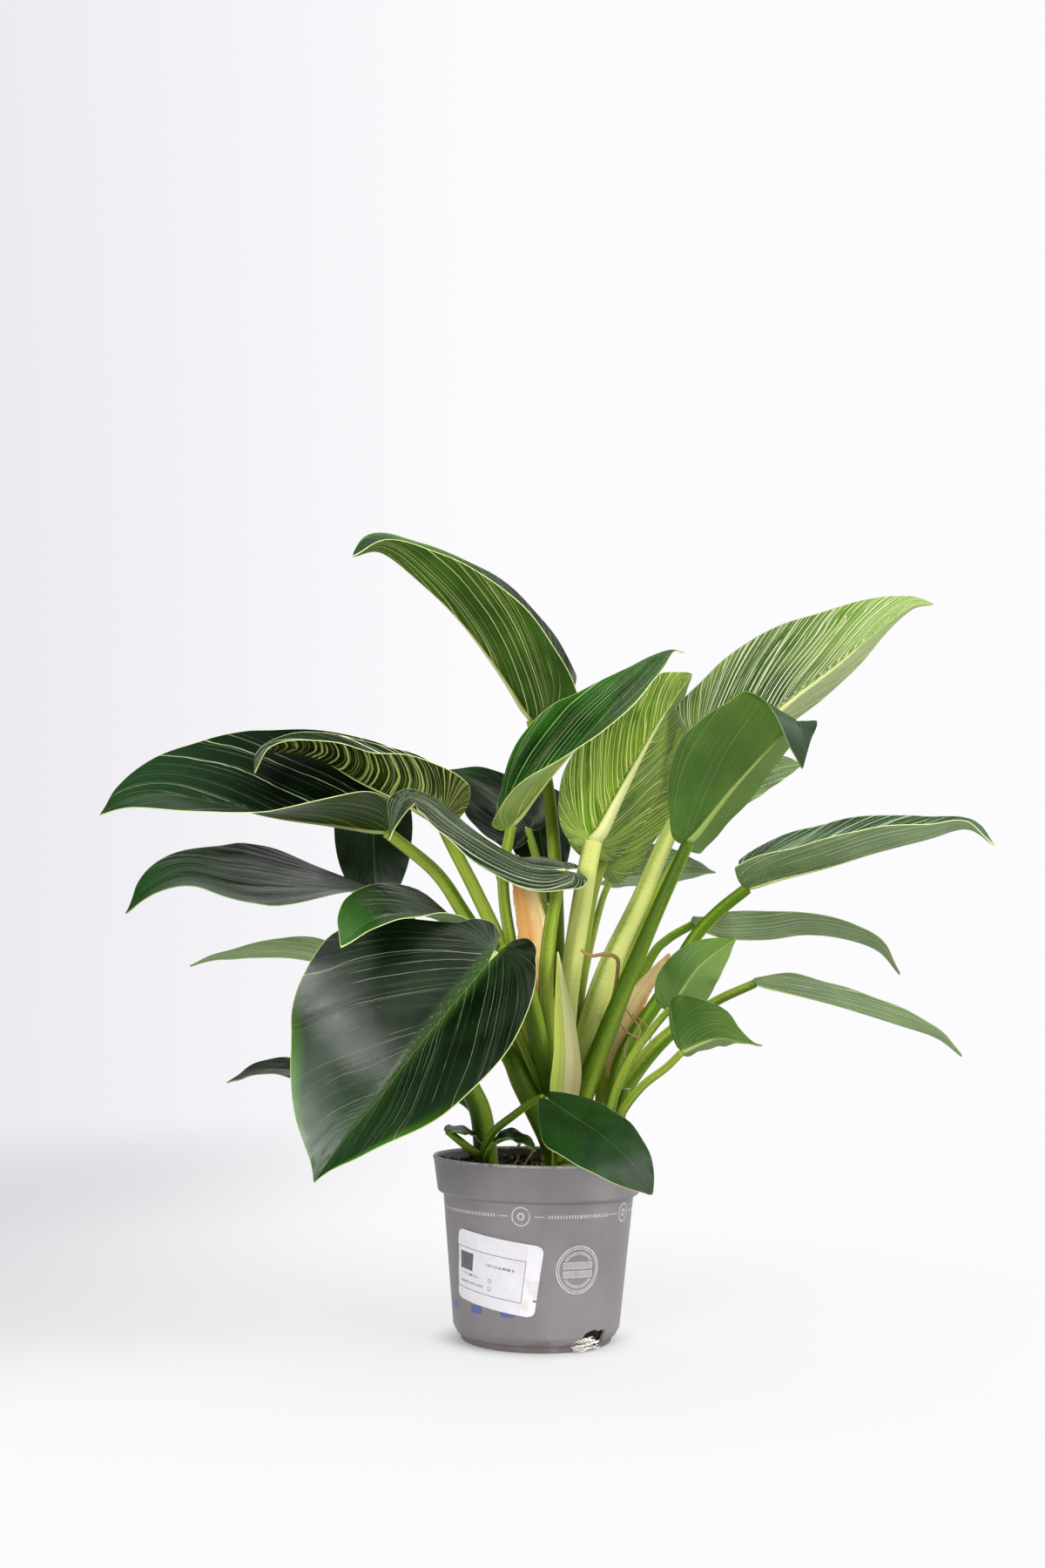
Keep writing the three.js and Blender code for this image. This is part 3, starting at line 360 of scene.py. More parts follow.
SMALL_LEAVES = [
    dict(
        USUAL, name="09", top="dark_top", under="plain_under", petiole="stalk_fresh", rib_pale=0.2,
        stalk=[(39, -6, 104), (41, -16, 132), (50, -26, 156), (62, -38, 174), (70, -44, 184)],
        stalk_width=(6, 5, 4),
        rib=[(70, -44, 184), (77, -46, 195), (86, -50, 208), (105, -52, 223)],
        face=[(-1, 10, 1)], half=(16, 16), fold=(15, 10), lobe=0.3, full=(0.8, 0.8), heel=(0.3, 0.3),
    ),
    dict(
        USUAL, name="10", top="plain_top", under="plain_under", petiole="stalk_fresh", rib_pale=0.3,
        rib_stout=0.6,
        stalk=[(41, -6, 98), (44, -18, 122), (55, -30, 140), (68, -44, 152), (76, -52, 161)],
        stalk_width=(6, 5, 4),
        rib=[(76, -52, 161), (86, -56, 166), (95, -60, 169), (104, -64, 168), (117, -68, 166)],
        face=[(0, 8, 4), (0, 8, 5), (0, 5, 8)], half=(10, 29), fold=(38, 20), lobe=0.3, belly=(0, -0.12),
        full=(1.5, 1.6), heel=(0.3, 0.3),
    ),
    dict(
        USUAL, name="11", top="plain_top", under="grey_under", petiole="stalk_fresh",
        stalk=[
            (38, 5, 106), (38, 12, 150), (43, 22, 197), (61, 32, 235),
            (78, 42, 266), (94, 50, 291), (111, 56, 315),
        ],
        stalk_width=(12, 11, 10, 7, 5),
        rib=[(111, 56, 315), (130, 58, 326), (147, 60, 333), (161, 62, 336)],
        face=[(-1, 10, 3)], half=(13, 13), fold=(10, 10), lobe=0.5, full=(0.7, 0.7),
    ),
    dict(
        USUAL, name="12", top="plain_top", under="grey_under", petiole="stalk_fresh",
        stalk=[(16, 5, 110), (19, 20, 147), (26, 38, 202), (36, 54, 245), (43, 64, 263)],
        stalk_width=(6, 4),
        rib=[(43, 64, 263), (64, 68, 266), (89, 72, 268), (109, 76, 269)],
        face=[(-1, 5, 9)], half=(24, 24), fold=(20, 10), lobe=0.5,
    ),
    dict(
        USUAL, name="17", top="gloss_top", under="mild_under", petiole="stalk_fresh", margin="margin_pale",
        stalk=[(9, -10, 100), (2, -14, 132), (-15, -28, 172), (-31, -40, 207), (-40, -46, 222)],
        stalk_width=(5, 4),
        rib=[(-40, -46, 222), (-61, -72, 231), (-79, -100, 230), (-92, -128, 223), (-100, -148, 212)],
        face=[(2, -3, 10), (1, -5, 9), (1, -5, 9)], half=(22, 25), fold=(20, 20), lobe=0.1,
        belly=(0.08, 0.08), full=(0.8, 0.8), heel=(0.4, 0.4),
    ),
    dict(
        USUAL, name="20", top="dark_top", under="plain_under", petiole="stalk_green",
        stalk=[(-29, -4, 94), (-32, 10, 112), (-45, 18, 129), (-81, 26, 139), (-115, 30, 143)],
        stalk_width=(5, 4),
        rib=[(-115, 30, 143), (-138, 26, 144), (-163, 22, 144), (-182, 18, 137)],
        face=[(0, -4, 9)], half=(14, 14), fold=(10, 10), lobe=0.3,
    ),
    dict(
        USUAL, name="21", top="plain_top", under="mild_under", petiole="stalk_fresh", margin="margin_pale",
        rib_pale=0.3,
        stalk=[
            (-29, -14, 92), (-31, -26, 102), (-26, -38, 115),
            (-14, -50, 126), (-5, -56, 133), (1, -60, 136),
        ],
        stalk_width=(5, 4),
        rib=[(2, -60, 136), (17, -70, 127), (32, -82, 118), (46, -90, 106), (57, -94, 90)],
        face=[(1, -7, 7)], half=(19, 26), fold=(10, 5), curl=(20, 20), lobe=0.15, belly=(0.08, 0.08),
        full=(0.7, 0.7), heel=(0.75, 0.75),
    ),
    dict(
        USUAL, name="22", top="gloss_top", under="mild_under", petiole="stalk_fresh",
        stalk=[(-27, -24, 86), (-29, -34, 99), (-28, -40, 105), (-25, -44, 110)],
        stalk_width=(4, 3),
        rib=[(-25, -44, 110), (-17, -46, 113), (-8, -48, 112), (-2, -50, 107)],
        face=[(0, -3, 10)], half=(8, 8), fold=(30, 0), lobe=0.15, heel=(0.5, 0.5),
    ),
    dict(
        USUAL, name="23", top="gloss_top", under="mild_under", petiole="stalk_fresh",
        stalk=[(8, -28, 86), (8, -36, 100), (8, -42, 106)],
        stalk_width=(3, 3),
        rib=[(8, -42, 106), (13, -46, 108), (19, -50, 105)],
        face=[(0, -5, 9)], half=(5, 5), fold=(10, 0), lobe=0.15, heel=(0.5, 0.5),
    ),
    dict(
        USUAL, name="24", top="dark_top", under="mild_under", petiole="stalk_green",
        stalk=[(-28, -12, 84), (-31, -20, 98), (-41, -26, 107), (-51, -30, 115)],
        stalk_width=(6, 4),
        rib=[(-51, -30, 115), (-43, -24, 115), (-36, -20, 112), (-29, -18, 107)],
        face=[(0, -3, 10)], half=(8, 8), fold=(10, 0), lobe=0.15, heel=(0.5, 0.5),
    ),
]

# ---- Stems, sheaths and root ------------------------------------------------------------------

STEMS = [
    {"name": "stem_main", "path": [(12, 0, 50), (12, 0, 90), (12, 0, 128)], "width": (20, 20, 15)},
    {"name": "stem_left", "path": [(-28, -8, 56), (-29, -8, 82), (-29, -8, 104)], "width": (16, 15, 11)},
    {"name": "stem_right", "path": [(39, 0, 56), (39, 0, 88), (39, 0, 118)], "width": (15, 14, 11)},
]
STEM_SWELLS = (1, 1.04, 0.97, 1.03, 0.98, 1.05, 0.97, 1.02, 0.9)
CUT_STUB = {"path": [(43, -8, 112), (45, -9, 126), (47, -10, 139)], "width": (9, 8, 8)}
# For each ring of the cut face: how far out it lies, how far up, and how pale it is.
CUT_FACE = [(1, 0.17, 0.6), (0.8, 0.25, 1), (0.62, 0.15, 0.8), (0.4, -0.35, 0.4), (0.05, -0.75, 0.1)]
PALE_SHEATH = {
    "path": [(13, -20, 112), (13, -24, 133), (14, -31, 152), (13, -36, 170), (10, -41, 196), (8, -44, 214)],
    "width": (8, 14, 17, 14, 11, 6, 1),
}
DRY_SHEATH_LEFT = {
    "path": [(7, -8, 112), (6, -13, 140), (3, -17, 170), (-3, -21, 204), (-7, -24, 233), (-17, -26, 268)],
    "width": (5, 7, 11, 17, 16, 5),
}
DRY_SHEATH_RIGHT = {
    "path": [(39, 7, 112), (41, 7, 138), (45, 3, 168), (53, 0, 186), (62, -2, 200), (73, -6, 215)],
    "width": (5, 7, 11, 14, 9, 2),
}
AERIAL_ROOT = {
    "path": [
        (21, -44, 215), (26, -46, 212), (34, -45, 213), (41, -38, 211),
        (42, -26, 203), (40, -14, 186), (36, -9, 167), (31, -7, 150),
    ],
    "width": (1.7, 2.3, 2.4, 2.1, 2.5, 2.2, 2.4, 2.3),
}
DRY_STRANDS = [
    [(46, -4, 186), (52, -9, 178), (56, -12, 172), (53, -14, 163), (50, -13, 156)],
    [(52, -6, 180), (58, -11, 176), (62, -13, 170), (60, -14, 160)],
    [(44, -8, 176), (49, -13, 170), (57, -14, 167), (63, -13, 168)],
    [(50, -10, 168), (47, -14, 160), (49, -15, 151), (47, -13, 142)],
]
DRY_ROOTS = [
    [(-15, -42, 90), (-16, -43, 95), (-13, -44, 100), (-11, -43, 104)],
    [(-12, -40, 108), (-9, -42, 114), (-5, -43, 112), (-4, -42, 106), (-8, -41, 99), (-9, -40, 91)],
    [(24, -40, 90), (26, -42, 97), (29, -43, 101), (30, -41, 106)],
]

# ---- Studio -----------------------------------------------------------------------------------

# In metres, as Blender has them; angles in degrees.
STUDIO_FRONT = (0, -0.96, 0.19)
# Floor tones near the pot: painted shade on the left, painted light on the right.
FLOOR_LEFT = (0.71, 0.705, 0.735, 1)
FLOOR_RIGHT = (0.965, 0.96, 0.975, 1)
BLACK = (0, 0, 0, 1)
WHITE = (1, 1, 1, 1)
LAMPS = (("key_right", (0.9, -0.8, 1.1), 0.9, 17), ("window_front", (-0.56, -1.42, 0.52), 0.36, 15))
LAMPS_AIM = (0, 0, 0.2)
CAMERA_PLACE = (-0.013, -0.959, 0.1882)
CAMERA_PITCH = 7.38
CAMERA_ROLL = 1
CAMERA_LENS = 38
CAMERA_SENSOR = 36

# ---- Curves -----------------------------------------------------------------------------------


def smooth_through(points, t):
    """Places on the smooth curve through points; t runs from 0 to 1, an equal share for each span."""
    p = np.array(points, float)
    p = np.vstack([2 * p[0] - p[1], p, 2 * p[-1] - p[-2]])
    spans = len(p) - 3
    t = np.asarray(t, float)
    i = np.minimum((t * spans).astype(int), spans - 1)
    s = (t * spans - i)[..., None]
    a, b, c, d = p[i], p[i + 1], p[i + 2], p[i + 3]
    square = (2 * a - 5 * b + 4 * c - d) * s**2
    cube = (3 * b - 3 * c + d - a) * s**3
    return b + ((c - a) * s + square + cube) / 2


def unit(vectors):
    return vectors / np.maximum(np.linalg.norm(vectors, axis=-1, keepdims=True), 1e-9)


def blend(values, u):
    """What lies at u, 0 to 1, between values that stand at even distances."""
    return np.interp(u, np.linspace(0, 1, len(values)), values)


def full_turn(steps):
    """Angles for a closed ring."""
    return np.linspace(0, 2 * np.pi, steps, endpoint=False)


def triples(*parts):
    """Three arrays of any matching shapes as one array of triples."""
    return np.stack(np.broadcast_arrays(*parts), -1)


class Path:
    """The smooth curve through points, walked by its length."""

    def __init__(self, points):
        self.places = smooth_through(points, np.linspace(0, 1, 16 * len(points)))
        steps = np.linalg.norm(np.diff(self.places, axis=0), axis=1)
        self.reach = np.concatenate([[0], np.cumsum(steps)])
        self.length = self.reach[-1]

    def at(self, u):
        where = np.clip(u, 0, 1) * self.length
        return np.stack([np.interp(where, self.reach, self.places[:, k]) for k in range(3)], -1)

    def along(self, u):
        return unit(self.at(np.clip(u + 0.01, 0, 1)) - self.at(np.clip(u - 0.01, 0, 1)))

    def sections(self, u):
        """The middle at u, and the two ways out from it: across, which is level, and back."""
        along = self.along(u)
        across = unit(np.cross((0, 1, 0), along))
        return self.at(u), across, np.cross(across, along)


# ---- Forms: points and faces of one piece, with what its finish needs to know -------------------


class Form:
    """Gathers the sheets and tubes of one piece. Each point holds two triples for its finish."""

    def __init__(self):
        self.points = []
        self.faces = []
        self.finish = []
        self.place = []
        self.spot = []
        self.count = 0

    def add_points(self, points, place=(0, 0, 0), spot=(0, 0, 0)):
        points = np.asarray(points, float)
        shape = points.shape
        index = np.arange(self.count, self.count + points.size // 3).reshape(shape[:-1])
        self.points.append(points.reshape(-1, 3))
        self.place.append(np.broadcast_to(place, shape).reshape(-1, 3))
        self.spot.append(np.broadcast_to(spot, shape).reshape(-1, 3))
        self.count += points.size // 3
        return index

    def add_sheet(self, index, finish, flip=False):
        quads = np.stack([index[:-1, :-1], index[:-1, 1:], index[1:, 1:], index[1:, :-1]], -1).reshape(-1, 4)
        if flip:
            quads = quads[:, ::-1]
        self.faces += quads.tolist()
        self.finish += [finish] * len(quads)

    def add_band(self, index, finish, flip=False):
        """A sheet that closes on itself."""
        self.add_sheet(np.concatenate([index, index[:, :1]], axis=1), finish, flip)

    def add_rim(self, front, back, finish):
        """The narrow edge all round between a sheet and the one behind it."""
        for line in (lambda g: g[0][::-1], lambda g: g[:, 0], lambda g: g[-1], lambda g: g[:, -1][::-1]):
            self.add_sheet(np.stack([line(front), line(back)]), finish)

    def add_fan(self, ring, centre, finish, flip=False):
        for a, b in zip(ring, np.roll(ring, -1)):
            self.faces.append([int(b), int(a), int(centre)] if flip else [int(a), int(b), int(centre)])
            self.finish.append(finish)

    def mesh(self, name, lowest=-np.inf, highest=np.inf):
        """The faces as a mesh in metres, kept between two corners."""
        mesh = bpy.data.meshes.new(name)
        points = np.clip(np.vstack(self.points) * MM, lowest, highest)
        mesh.from_pydata(points.tolist(), [], self.faces)
        return mesh

    def piece(self, name, finishes, slot, replaces=()):
        """Stands the mesh in the scene with its finishes and notes, in place of the solids it replaces."""
        mesh = self.mesh(name, *cad_bounds)
        for material in finishes:
            mesh.materials.append(material)
        mesh.polygons.foreach_set("material_index", self.finish)
        for key, values in (("place", self.place), ("spot", self.spot)):
            layer = mesh.attributes.new(key, "FLOAT_VECTOR", "POINT")
            layer.data.foreach_set("vector", np.vstack(values).astype(np.float32).ravel())
        tidy = bmesh.new()
        tidy.from_mesh(mesh)
        bmesh.ops.dissolve_degenerate(tidy, dist=1e-6, edges=tidy.edges)
        bmesh.ops.remove_doubles(tidy, verts=tidy.verts, dist=2e-6)
        for face in tidy.faces:
            face.smooth = True
        for edge in tidy.edges:
            sides = edge.link_faces
            edge.smooth = len(sides) == 2 and sides[0].material_index == sides[1].material_index
        tidy.to_mesh(mesh)
        tidy.free()
        made = show(name, mesh)
        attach(made, "root")
        if replaces:
            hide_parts(*replaces)
        return made


def show(name, data):
    """Stands a mesh, lamp or camera in the scene."""
    made = bpy.data.objects.new(name, data)
    bpy.context.scene.collection.objects.link(made)
    return made


def add_tube(form, path, width, depth, finish, sides, steps, flutes=0, seed=0):
    """A tube along a path; width and depth run from its foot to its top. flutes are shallow grooves."""
    u = np.linspace(0, 1, steps + 1)
    middle, across, back = path.sections(u)
    turn = full_turn(sides)
    groove = 1 - flutes * (0.5 + 0.5 * np.cos(3 * turn + 0.6))
    wide = blend(width, u)[:, None] / 2 * np.cos(turn) * groove
    deep = blend(depth, u)[:, None] / 2 * np.sin(turn) * groove
    ring = middle[:, None] + wide[..., None] * across[:, None] + deep[..., None] * back[:, None]
    place = triples(u[:, None], turn / (2 * np.pi), u[:, None])
    index = form.add_points(ring, place, (0, 0, seed))
    form.add_band(index, finish)
    ends = form.add_points(middle[[0, -1]], [(0, 0, 0), (1, 0, 1)], (0, 0, seed))
    form.add_fan(index[0], ends[0], finish, flip=True)
    form.add_fan(index[-1], ends[1], finish)
    return index


# ---- Blades -------------------------------------------------------------------------------------


def veins(leaf, hand, t, v):
    """Place along the rib and distance out from it, for a share v along the side vein at t."""
    edge = smooth_through(HALF_OUTLINE, t)
    x = edge[:, 0]
    y = np.maximum(edge[:, 1], 0)
    narrow = 1 - leaf["heel"][hand] * (1 - np.maximum(x, 0) / 0.3) ** 2
    y = np.where(x > 0.3, y ** leaf["full"][hand], y * narrow)
    x = np.where(x < 0, x * leaf["lobe"], x + leaf["belly"][hand] * np.sin(np.pi * x))
    root = np.maximum(0, x - 0.24 * y)
    x, y, root = x[:, None], y[:, None], root[:, None]
    along = (1 - v) ** 2 * root + 2 * v * (1 - v) * (root + 0.3 * (x - root)) + v * v * x
    out = 2 * v * (1 - v) * 0.58 * y + v * v * y
    return along, out


def rib_frames(leaf, path, u):
    """The rib's place, its facing and its right hand at u; before the joint it runs straight on."""
    place = np.clip(u, 0, 1)
    along = path.along(place)
    point = path.at(place) + along * (np.minimum(u, 0) * path.length)[..., None]
    faces = unit(np.array(leaf["face"], float))
    facing = np.stack([blend(faces[:, k], place) for k in range(3)], -1)
    facing = unit(facing - along * np.sum(facing * along, -1, keepdims=True))
    return point, facing, np.cross(along, facing)


def half_blade(leaf, path, side, rows, columns, seed):
    """One half of the blade's top face: points, the way down through the sheet, and finish notes."""
    t = np.linspace(0, 1, rows + 1)
    v = np.linspace(0, 1, columns + 1)[None, :]
    hand = 1 if side > 0 else 0
    along, out = veins(leaf, hand, t, v)
    point, facing, right = rib_frames(leaf, path, along)
    place = np.clip(along, 0, 1)
    half = leaf["half"][hand]
    start = np.radians(blend(leaf["fold"], place))
    bend = -np.radians(blend(leaf["curl"], place)) - 1e-4
    slope = start + bend * out
    sideways = (np.sin(slope) - np.sin(start)) / bend * half
    raised = (np.cos(start) - np.cos(slope)) / bend * half
    down = side * right * np.sin(slope)[..., None] - facing * np.cos(slope)[..., None]
    wave = np.sin(2 * np.pi * (3.1 * t + seed)) + 0.6 * np.sin(2 * np.pi * (6.7 * t + 2.3 * seed * side))
    ripple = MARGIN_RIPPLE * wave[:, None] * (v**3) * np.sin(np.pi * t)[:, None]
    top = point + side * right * sideways[..., None] + facing * raised[..., None]
    top = top + down * ripple[..., None]
    notes = triples(t[:, None], v, float(side))
    spot = triples(along, out * half, float(seed))
    return top, down, notes, spot


def add_blade(form, leaf, rows, columns, seed):
    """The blade's two faces, its margin and the rib that stands out of its underside."""
    path = Path(leaf["rib"])
    left = half_blade(leaf, path, -1, rows, columns, seed)
    right = half_blade(leaf, path, 1, rows, columns, seed)
    top, down, notes, spot = (
        np.concatenate([a[:, ::-1], b[:, 1:]], axis=1) for a, b in zip(left, right)
    )
    down[:, columns] = -rib_frames(leaf, path, spot[:, columns, 0])[1]
    thickness = 0.45 + 0.5 * np.exp(-np.abs(spot[..., 1:2]) / 3)
    upper = form.add_points(top, notes, spot)
    lower = form.add_points(top + down * thickness, notes, spot)
    form.add_sheet(upper, 0)
    form.add_sheet(lower, 1, flip=True)
    form.add_rim(upper, lower, 2)
    add_rib(form, leaf, path, seed)


def add_rib(form, leaf, path, seed):
    """The rib that stands out of the underside; it thins towards the tip."""
    u = np.linspace(0, RIB_END, RIB_STEPS + 1)
    point, facing, right = rib_frames(leaf, path, u)
    joint = leaf["stalk_width"][-1]
    radius = np.maximum(joint / 2 * leaf["rib_stout"] * (1 - u) ** 1.7, 0.3)
    deep = 0.62 * radius
    sink = deep * np.minimum(1, u / 0.06) + 0.25
    turn = full_turn(RIB_SIDES)
    middle = point - facing * sink[:, None]
    ring = (
        middle[:, None]
        + (radius[:, None] * np.cos(turn))[..., None] * right[:, None]
        + (deep[:, None] * np.sin(turn))[..., None] * facing[:, None]
    )
    place = triples(u[:, None], turn / (2 * np.pi), leaf["rib_pale"])
    index = form.add_points(ring, place, (0, 0, seed))
    form.add_band(index, 3, flip=True)
    ends = form.add_points(middle[[0, -1]], (0, 0, leaf["rib_pale"]), (0, 0, seed))
    form.add_fan(index[0], ends[0], 3)
    form.add_fan(index[-1], ends[1], 3, flip=True)


def add_stalk(form, leaf, finish, seed):
    """The stalk as a shallowly fluted tube, a little flatter than wide."""
    width = smooth_through([(w, 0, 0) for w in leaf["stalk_width"]], np.linspace(0, 1, 25))[:, 0]
    depth = np.minimum(width * 0.94, STALK_DEPTH)
    add_tube(form, Path(leaf["stalk"]), width, depth, finish, 20, 64, 0.02, seed)


def make_leaf(leaf, seed, small=False):
    """A large leaf is two pieces, blade and stalk; a small one is a single piece."""
    name = leaf["name"]
    faces = [finishes[leaf["top"]], finishes[leaf["under"]], finishes[leaf["margin"]], finishes["rib"]]
    form = Form()
    add_blade(form, leaf, *(SMALL_GRID if small else LARGE_GRID), seed)
    if small:
        add_stalk(form, leaf, 4, seed)
        form.piece(f"young_leaf_{name}", [*faces, finishes[leaf["petiole"]]], "blade", [f"leaf_{name}"])
        return
    form.piece(f"blade_{name}", faces, "blade", [f"leaf_{name}_blade"])
    stalk = Form()
    add_stalk(stalk, leaf, 0, seed)
    stalk.piece(f"petiole_{name}", [finishes[leaf["petiole"]]], "stalk", [f"leaf_{name}_stalk"])

# ---- Shader trees -------------------------------------------------------------------------------


def shade(red, green, blue):
    """A colour as the eye names it, 0 to 255, turned into the linear light that shaders use."""
    parts = [c / 255 for c in (red, green, blue)]
    linear = [c / 12.92 if c <= 0.04045 else ((c + 0.055) / 1.055) ** 2.4 for c in parts]
    return (*linear, 1)


class Tree:
    """Short words for the nodes of one material or effect."""

    def __init__(self, tree):
        self.tree = tree

    def node(self, kind, feeds=None, **settings):
        made = self.tree.nodes.new(kind)
        for key, value in settings.items():
            setattr(made, key, value)
        for key, value in (feeds or {}).items():
            self.feed(made.inputs[key], value)
        return made

    def feed(self, socket, value):
        if isinstance(value, bpy.types.NodeSocket):
            self.tree.links.new(value, socket)
        else:
            socket.default_value = value

    def math(self, operation, a, b=0.0, clamp=False):
        return self.node("ShaderNodeMath", {0: a, 1: b}, operation=operation, use_clamp=clamp).outputs[0]

    def join(self, operation, values):
        total, *rest = values
        for value in rest:
            total = self.math(operation, total, value)
        return total

    def times(self, *values):
        return self.join("MULTIPLY", values)

    def plus(self, *values):
        return self.join("ADD", values)

    def minus(self, *values):
        return self.join("SUBTRACT", values)

    def most(self, *values):
        return self.join("MAXIMUM", values)

    def absolute(self, value):
        return self.math("ABSOLUTE", value)

    def off_middle(self, value):
        """How far a repeat's point lies from the middle of its turn, 0 to 0.5."""
        return self.absolute(self.minus(self.math("FRACT", value), 0.5))

    def swing(self, noise, reach):
        """A noise as a move to both sides."""
        return self.times(self.minus(noise, 0.5), reach)

    def mix(self, share, a, b):
        return self.node("ShaderNodeMix", {0: share, 6: a, 7: b}, data_type="RGBA").outputs[2]

    def tint(self, tone, mark, colour, strength):
        return self.mix(self.times(mark, strength), tone, colour)

    def between(self, value, low, high, to_low=0.0, to_high=1.0, kind="SMOOTHSTEP"):
        feeds = {"Value": value, "From Min": low, "From Max": high, "To Min": to_low, "To Max": to_high}
        return self.node("ShaderNodeMapRange", feeds, interpolation_type=kind).outputs[0]

    def noise(self, vector, scale=1.0, detail=2.0, roughness=0.5):
        feeds = {"Vector": vector, "Scale": scale, "Detail": detail, "Roughness": roughness}
        return self.node("ShaderNodeTexNoise", feeds).outputs[0]

    def vector(self, x, y, z=0.0):
        return self.node("ShaderNodeCombineXYZ", {0: x, 1: y, 2: z}).outputs[0]

    def parts(self, vector):
        return self.node("ShaderNodeSeparateXYZ", {0: vector}).outputs

    def note(self, key):
        return self.parts(self.node("ShaderNodeAttribute", attribute_name=key).outputs["Vector"])

    def own_place(self):
        """The point in the piece's own metres."""
        return self.node("ShaderNodeTexCoord").outputs["Object"]

    def effect(self, name, **values):
        made = self.node("ShaderNodeGroup", node_tree=bpy.data.node_groups[name])
        for key, value in values.items():
            self.feed(made.inputs[key.replace("_", " ")], value)
        return made.outputs

    def specks(self, where, scale, size, core, share):
        """Small round spots that fade between core and size, where share lets them be."""
        cells = self.node("ShaderNodeTexVoronoi", {"Vector": where, "Scale": scale})
        return self.times(self.between(cells.outputs["Distance"], size, core), share)

    def bump(self, height, strength, distance):
        feeds = {"Height": height, "Strength": strength, "Distance": distance}
        return self.node("ShaderNodeBump", feeds).outputs["Normal"]

    def give(self, **values):
        """Ends an effect with its outputs."""
        for key in values:
            self.tree.interface.new_socket(name=key, in_out="OUTPUT", socket_type="NodeSocketFloat")
        self.node("NodeGroupOutput", values)

    def surface(self, tone, height=None, strength=0.5, distance=0.001):
        """Ends a finish with its colour and its relief."""
        self.feed(self.shader["Base Color"], tone)
        if height is not None:
            self.feed(self.shader["Normal"], self.bump(height, strength, distance))
        return self.material


def new_effect(name, **inputs):
    """A node group that several finishes share, and its inputs; an underscore stands for a space."""
    tree = bpy.data.node_groups.new(name, "ShaderNodeTree")
    for key, default in inputs.items():
        key = key.replace("_", " ")
        made = tree.interface.new_socket(name=key, in_out="INPUT", socket_type="NodeSocketFloat")
        made.default_value = default
    return Tree(tree), tree.nodes.new("NodeGroupInput").outputs


def new_finish(name, roughness, specular=0.5):
    """The tree of a new material, with the inputs of its shader."""
    material = bpy.data.materials.new(name)
    material.use_nodes = True
    shader = material.node_tree.nodes["Principled BSDF"]
    shader.inputs["Roughness"].default_value = roughness
    shader.inputs["Specular IOR Level"].default_value = specular
    n = Tree(material.node_tree)
    n.material, n.shader = material, shader.inputs
    return n


# ---- Effects that several finishes share ----------------------------------------------------------


def lean_of(n, t, v, sweep):
    """The side vein that a point lies on, where the painted stripes lean towards the tip by sweep."""
    return n.minus(t, n.times(v, n.minus(1.4, n.times(v, 0.4)), sweep))


def vein_streaks_effect():
    """Painted pinstripes that follow the side veins; each has its own width, breaks and fading ends.

    Count is how many run out of one side of the rib, Cover how many are there, Width their share of
    the room between two, Run how often a stripe breaks on its way, Sway how far it wanders, Sweep
    how much more than the side veins it leans towards the tip, and Fade how much it thins outwards.
    """
    n, given = new_effect(
        "vein streaks", Count=40, Cover=0.5, Width=0.1, Run=2.0, Sway=0.8, Sweep=0.1, Fade=0.0
    )
    t, v, side = n.note("place")
    seed = n.note("spot")[2]
    shift = n.plus(n.times(side, 3.7), n.times(seed, 11.3))
    c = lean_of(n, t, v, given["Sweep"])
    slow = n.noise(n.vector(n.times(c, 5), n.times(v, 1.6), shift), 1, 1)
    wobble = n.noise(n.vector(n.times(c, 24), n.times(v, 7), shift), 1, 2)
    patch = n.noise(n.vector(n.times(t, 4), n.times(v, 1.6), n.plus(shift, 9)))
    level = n.minus(1.12, given["Cover"])
    marks = []
    # Three sets of stripes: the main ones, finer ones between them, and a few broad ones.
    for order, finer, spread, slim in ((0, 1.0, 1.0, 1.0), (1, 1.83, 0.55, 1.0), (2, 0.41, 1.2, 0.4)):
        wander = n.plus(n.swing(slow, given["Sway"]), n.swing(wobble, 0.16 * finer))
        across = n.plus(n.times(c, given["Count"], finer), wander)
        row = n.math("FLOOR", across)
        lot = {"Vector": n.vector(row, n.plus(shift, 7 * order))}
        dice = n.parts(n.node("ShaderNodeTexWhiteNoise", lot, noise_dimensions="2D").outputs["Color"])
        way = n.vector(n.times(row, 5.3), n.times(v, given["Run"]), n.plus(shift, order))
        gaps = n.noise(way, 1, 2, 0.6)
        there = n.plus(n.times(dice[0], 0.6), n.times(gaps, 0.7), n.swing(patch, 0.5))
        there = n.minus(there, n.times(v, given["Fade"]))
        present = n.between(there, level, n.plus(level, 0.12))
        width = n.times(given["Width"], n.plus(0.3, n.times(dice[1], spread)), slim)
        width = n.times(width, n.plus(0.3, n.times(present, 0.7)))
        soft = n.plus(n.times(width, 0.35), 0.012)
        mark = n.between(n.off_middle(across), n.plus(width, soft), n.minus(width, soft))
        marks.append(n.times(mark, present, n.plus(0.6, n.times(dice[2], 0.4))))
    streak = n.most(marks[0], n.times(marks[1], 0.8), marks[2])
    # The mottle mask, which one finish uses for painted sheen.
    n.give(Streak=streak, Wash=n.between(patch, 0.42, 0.68))


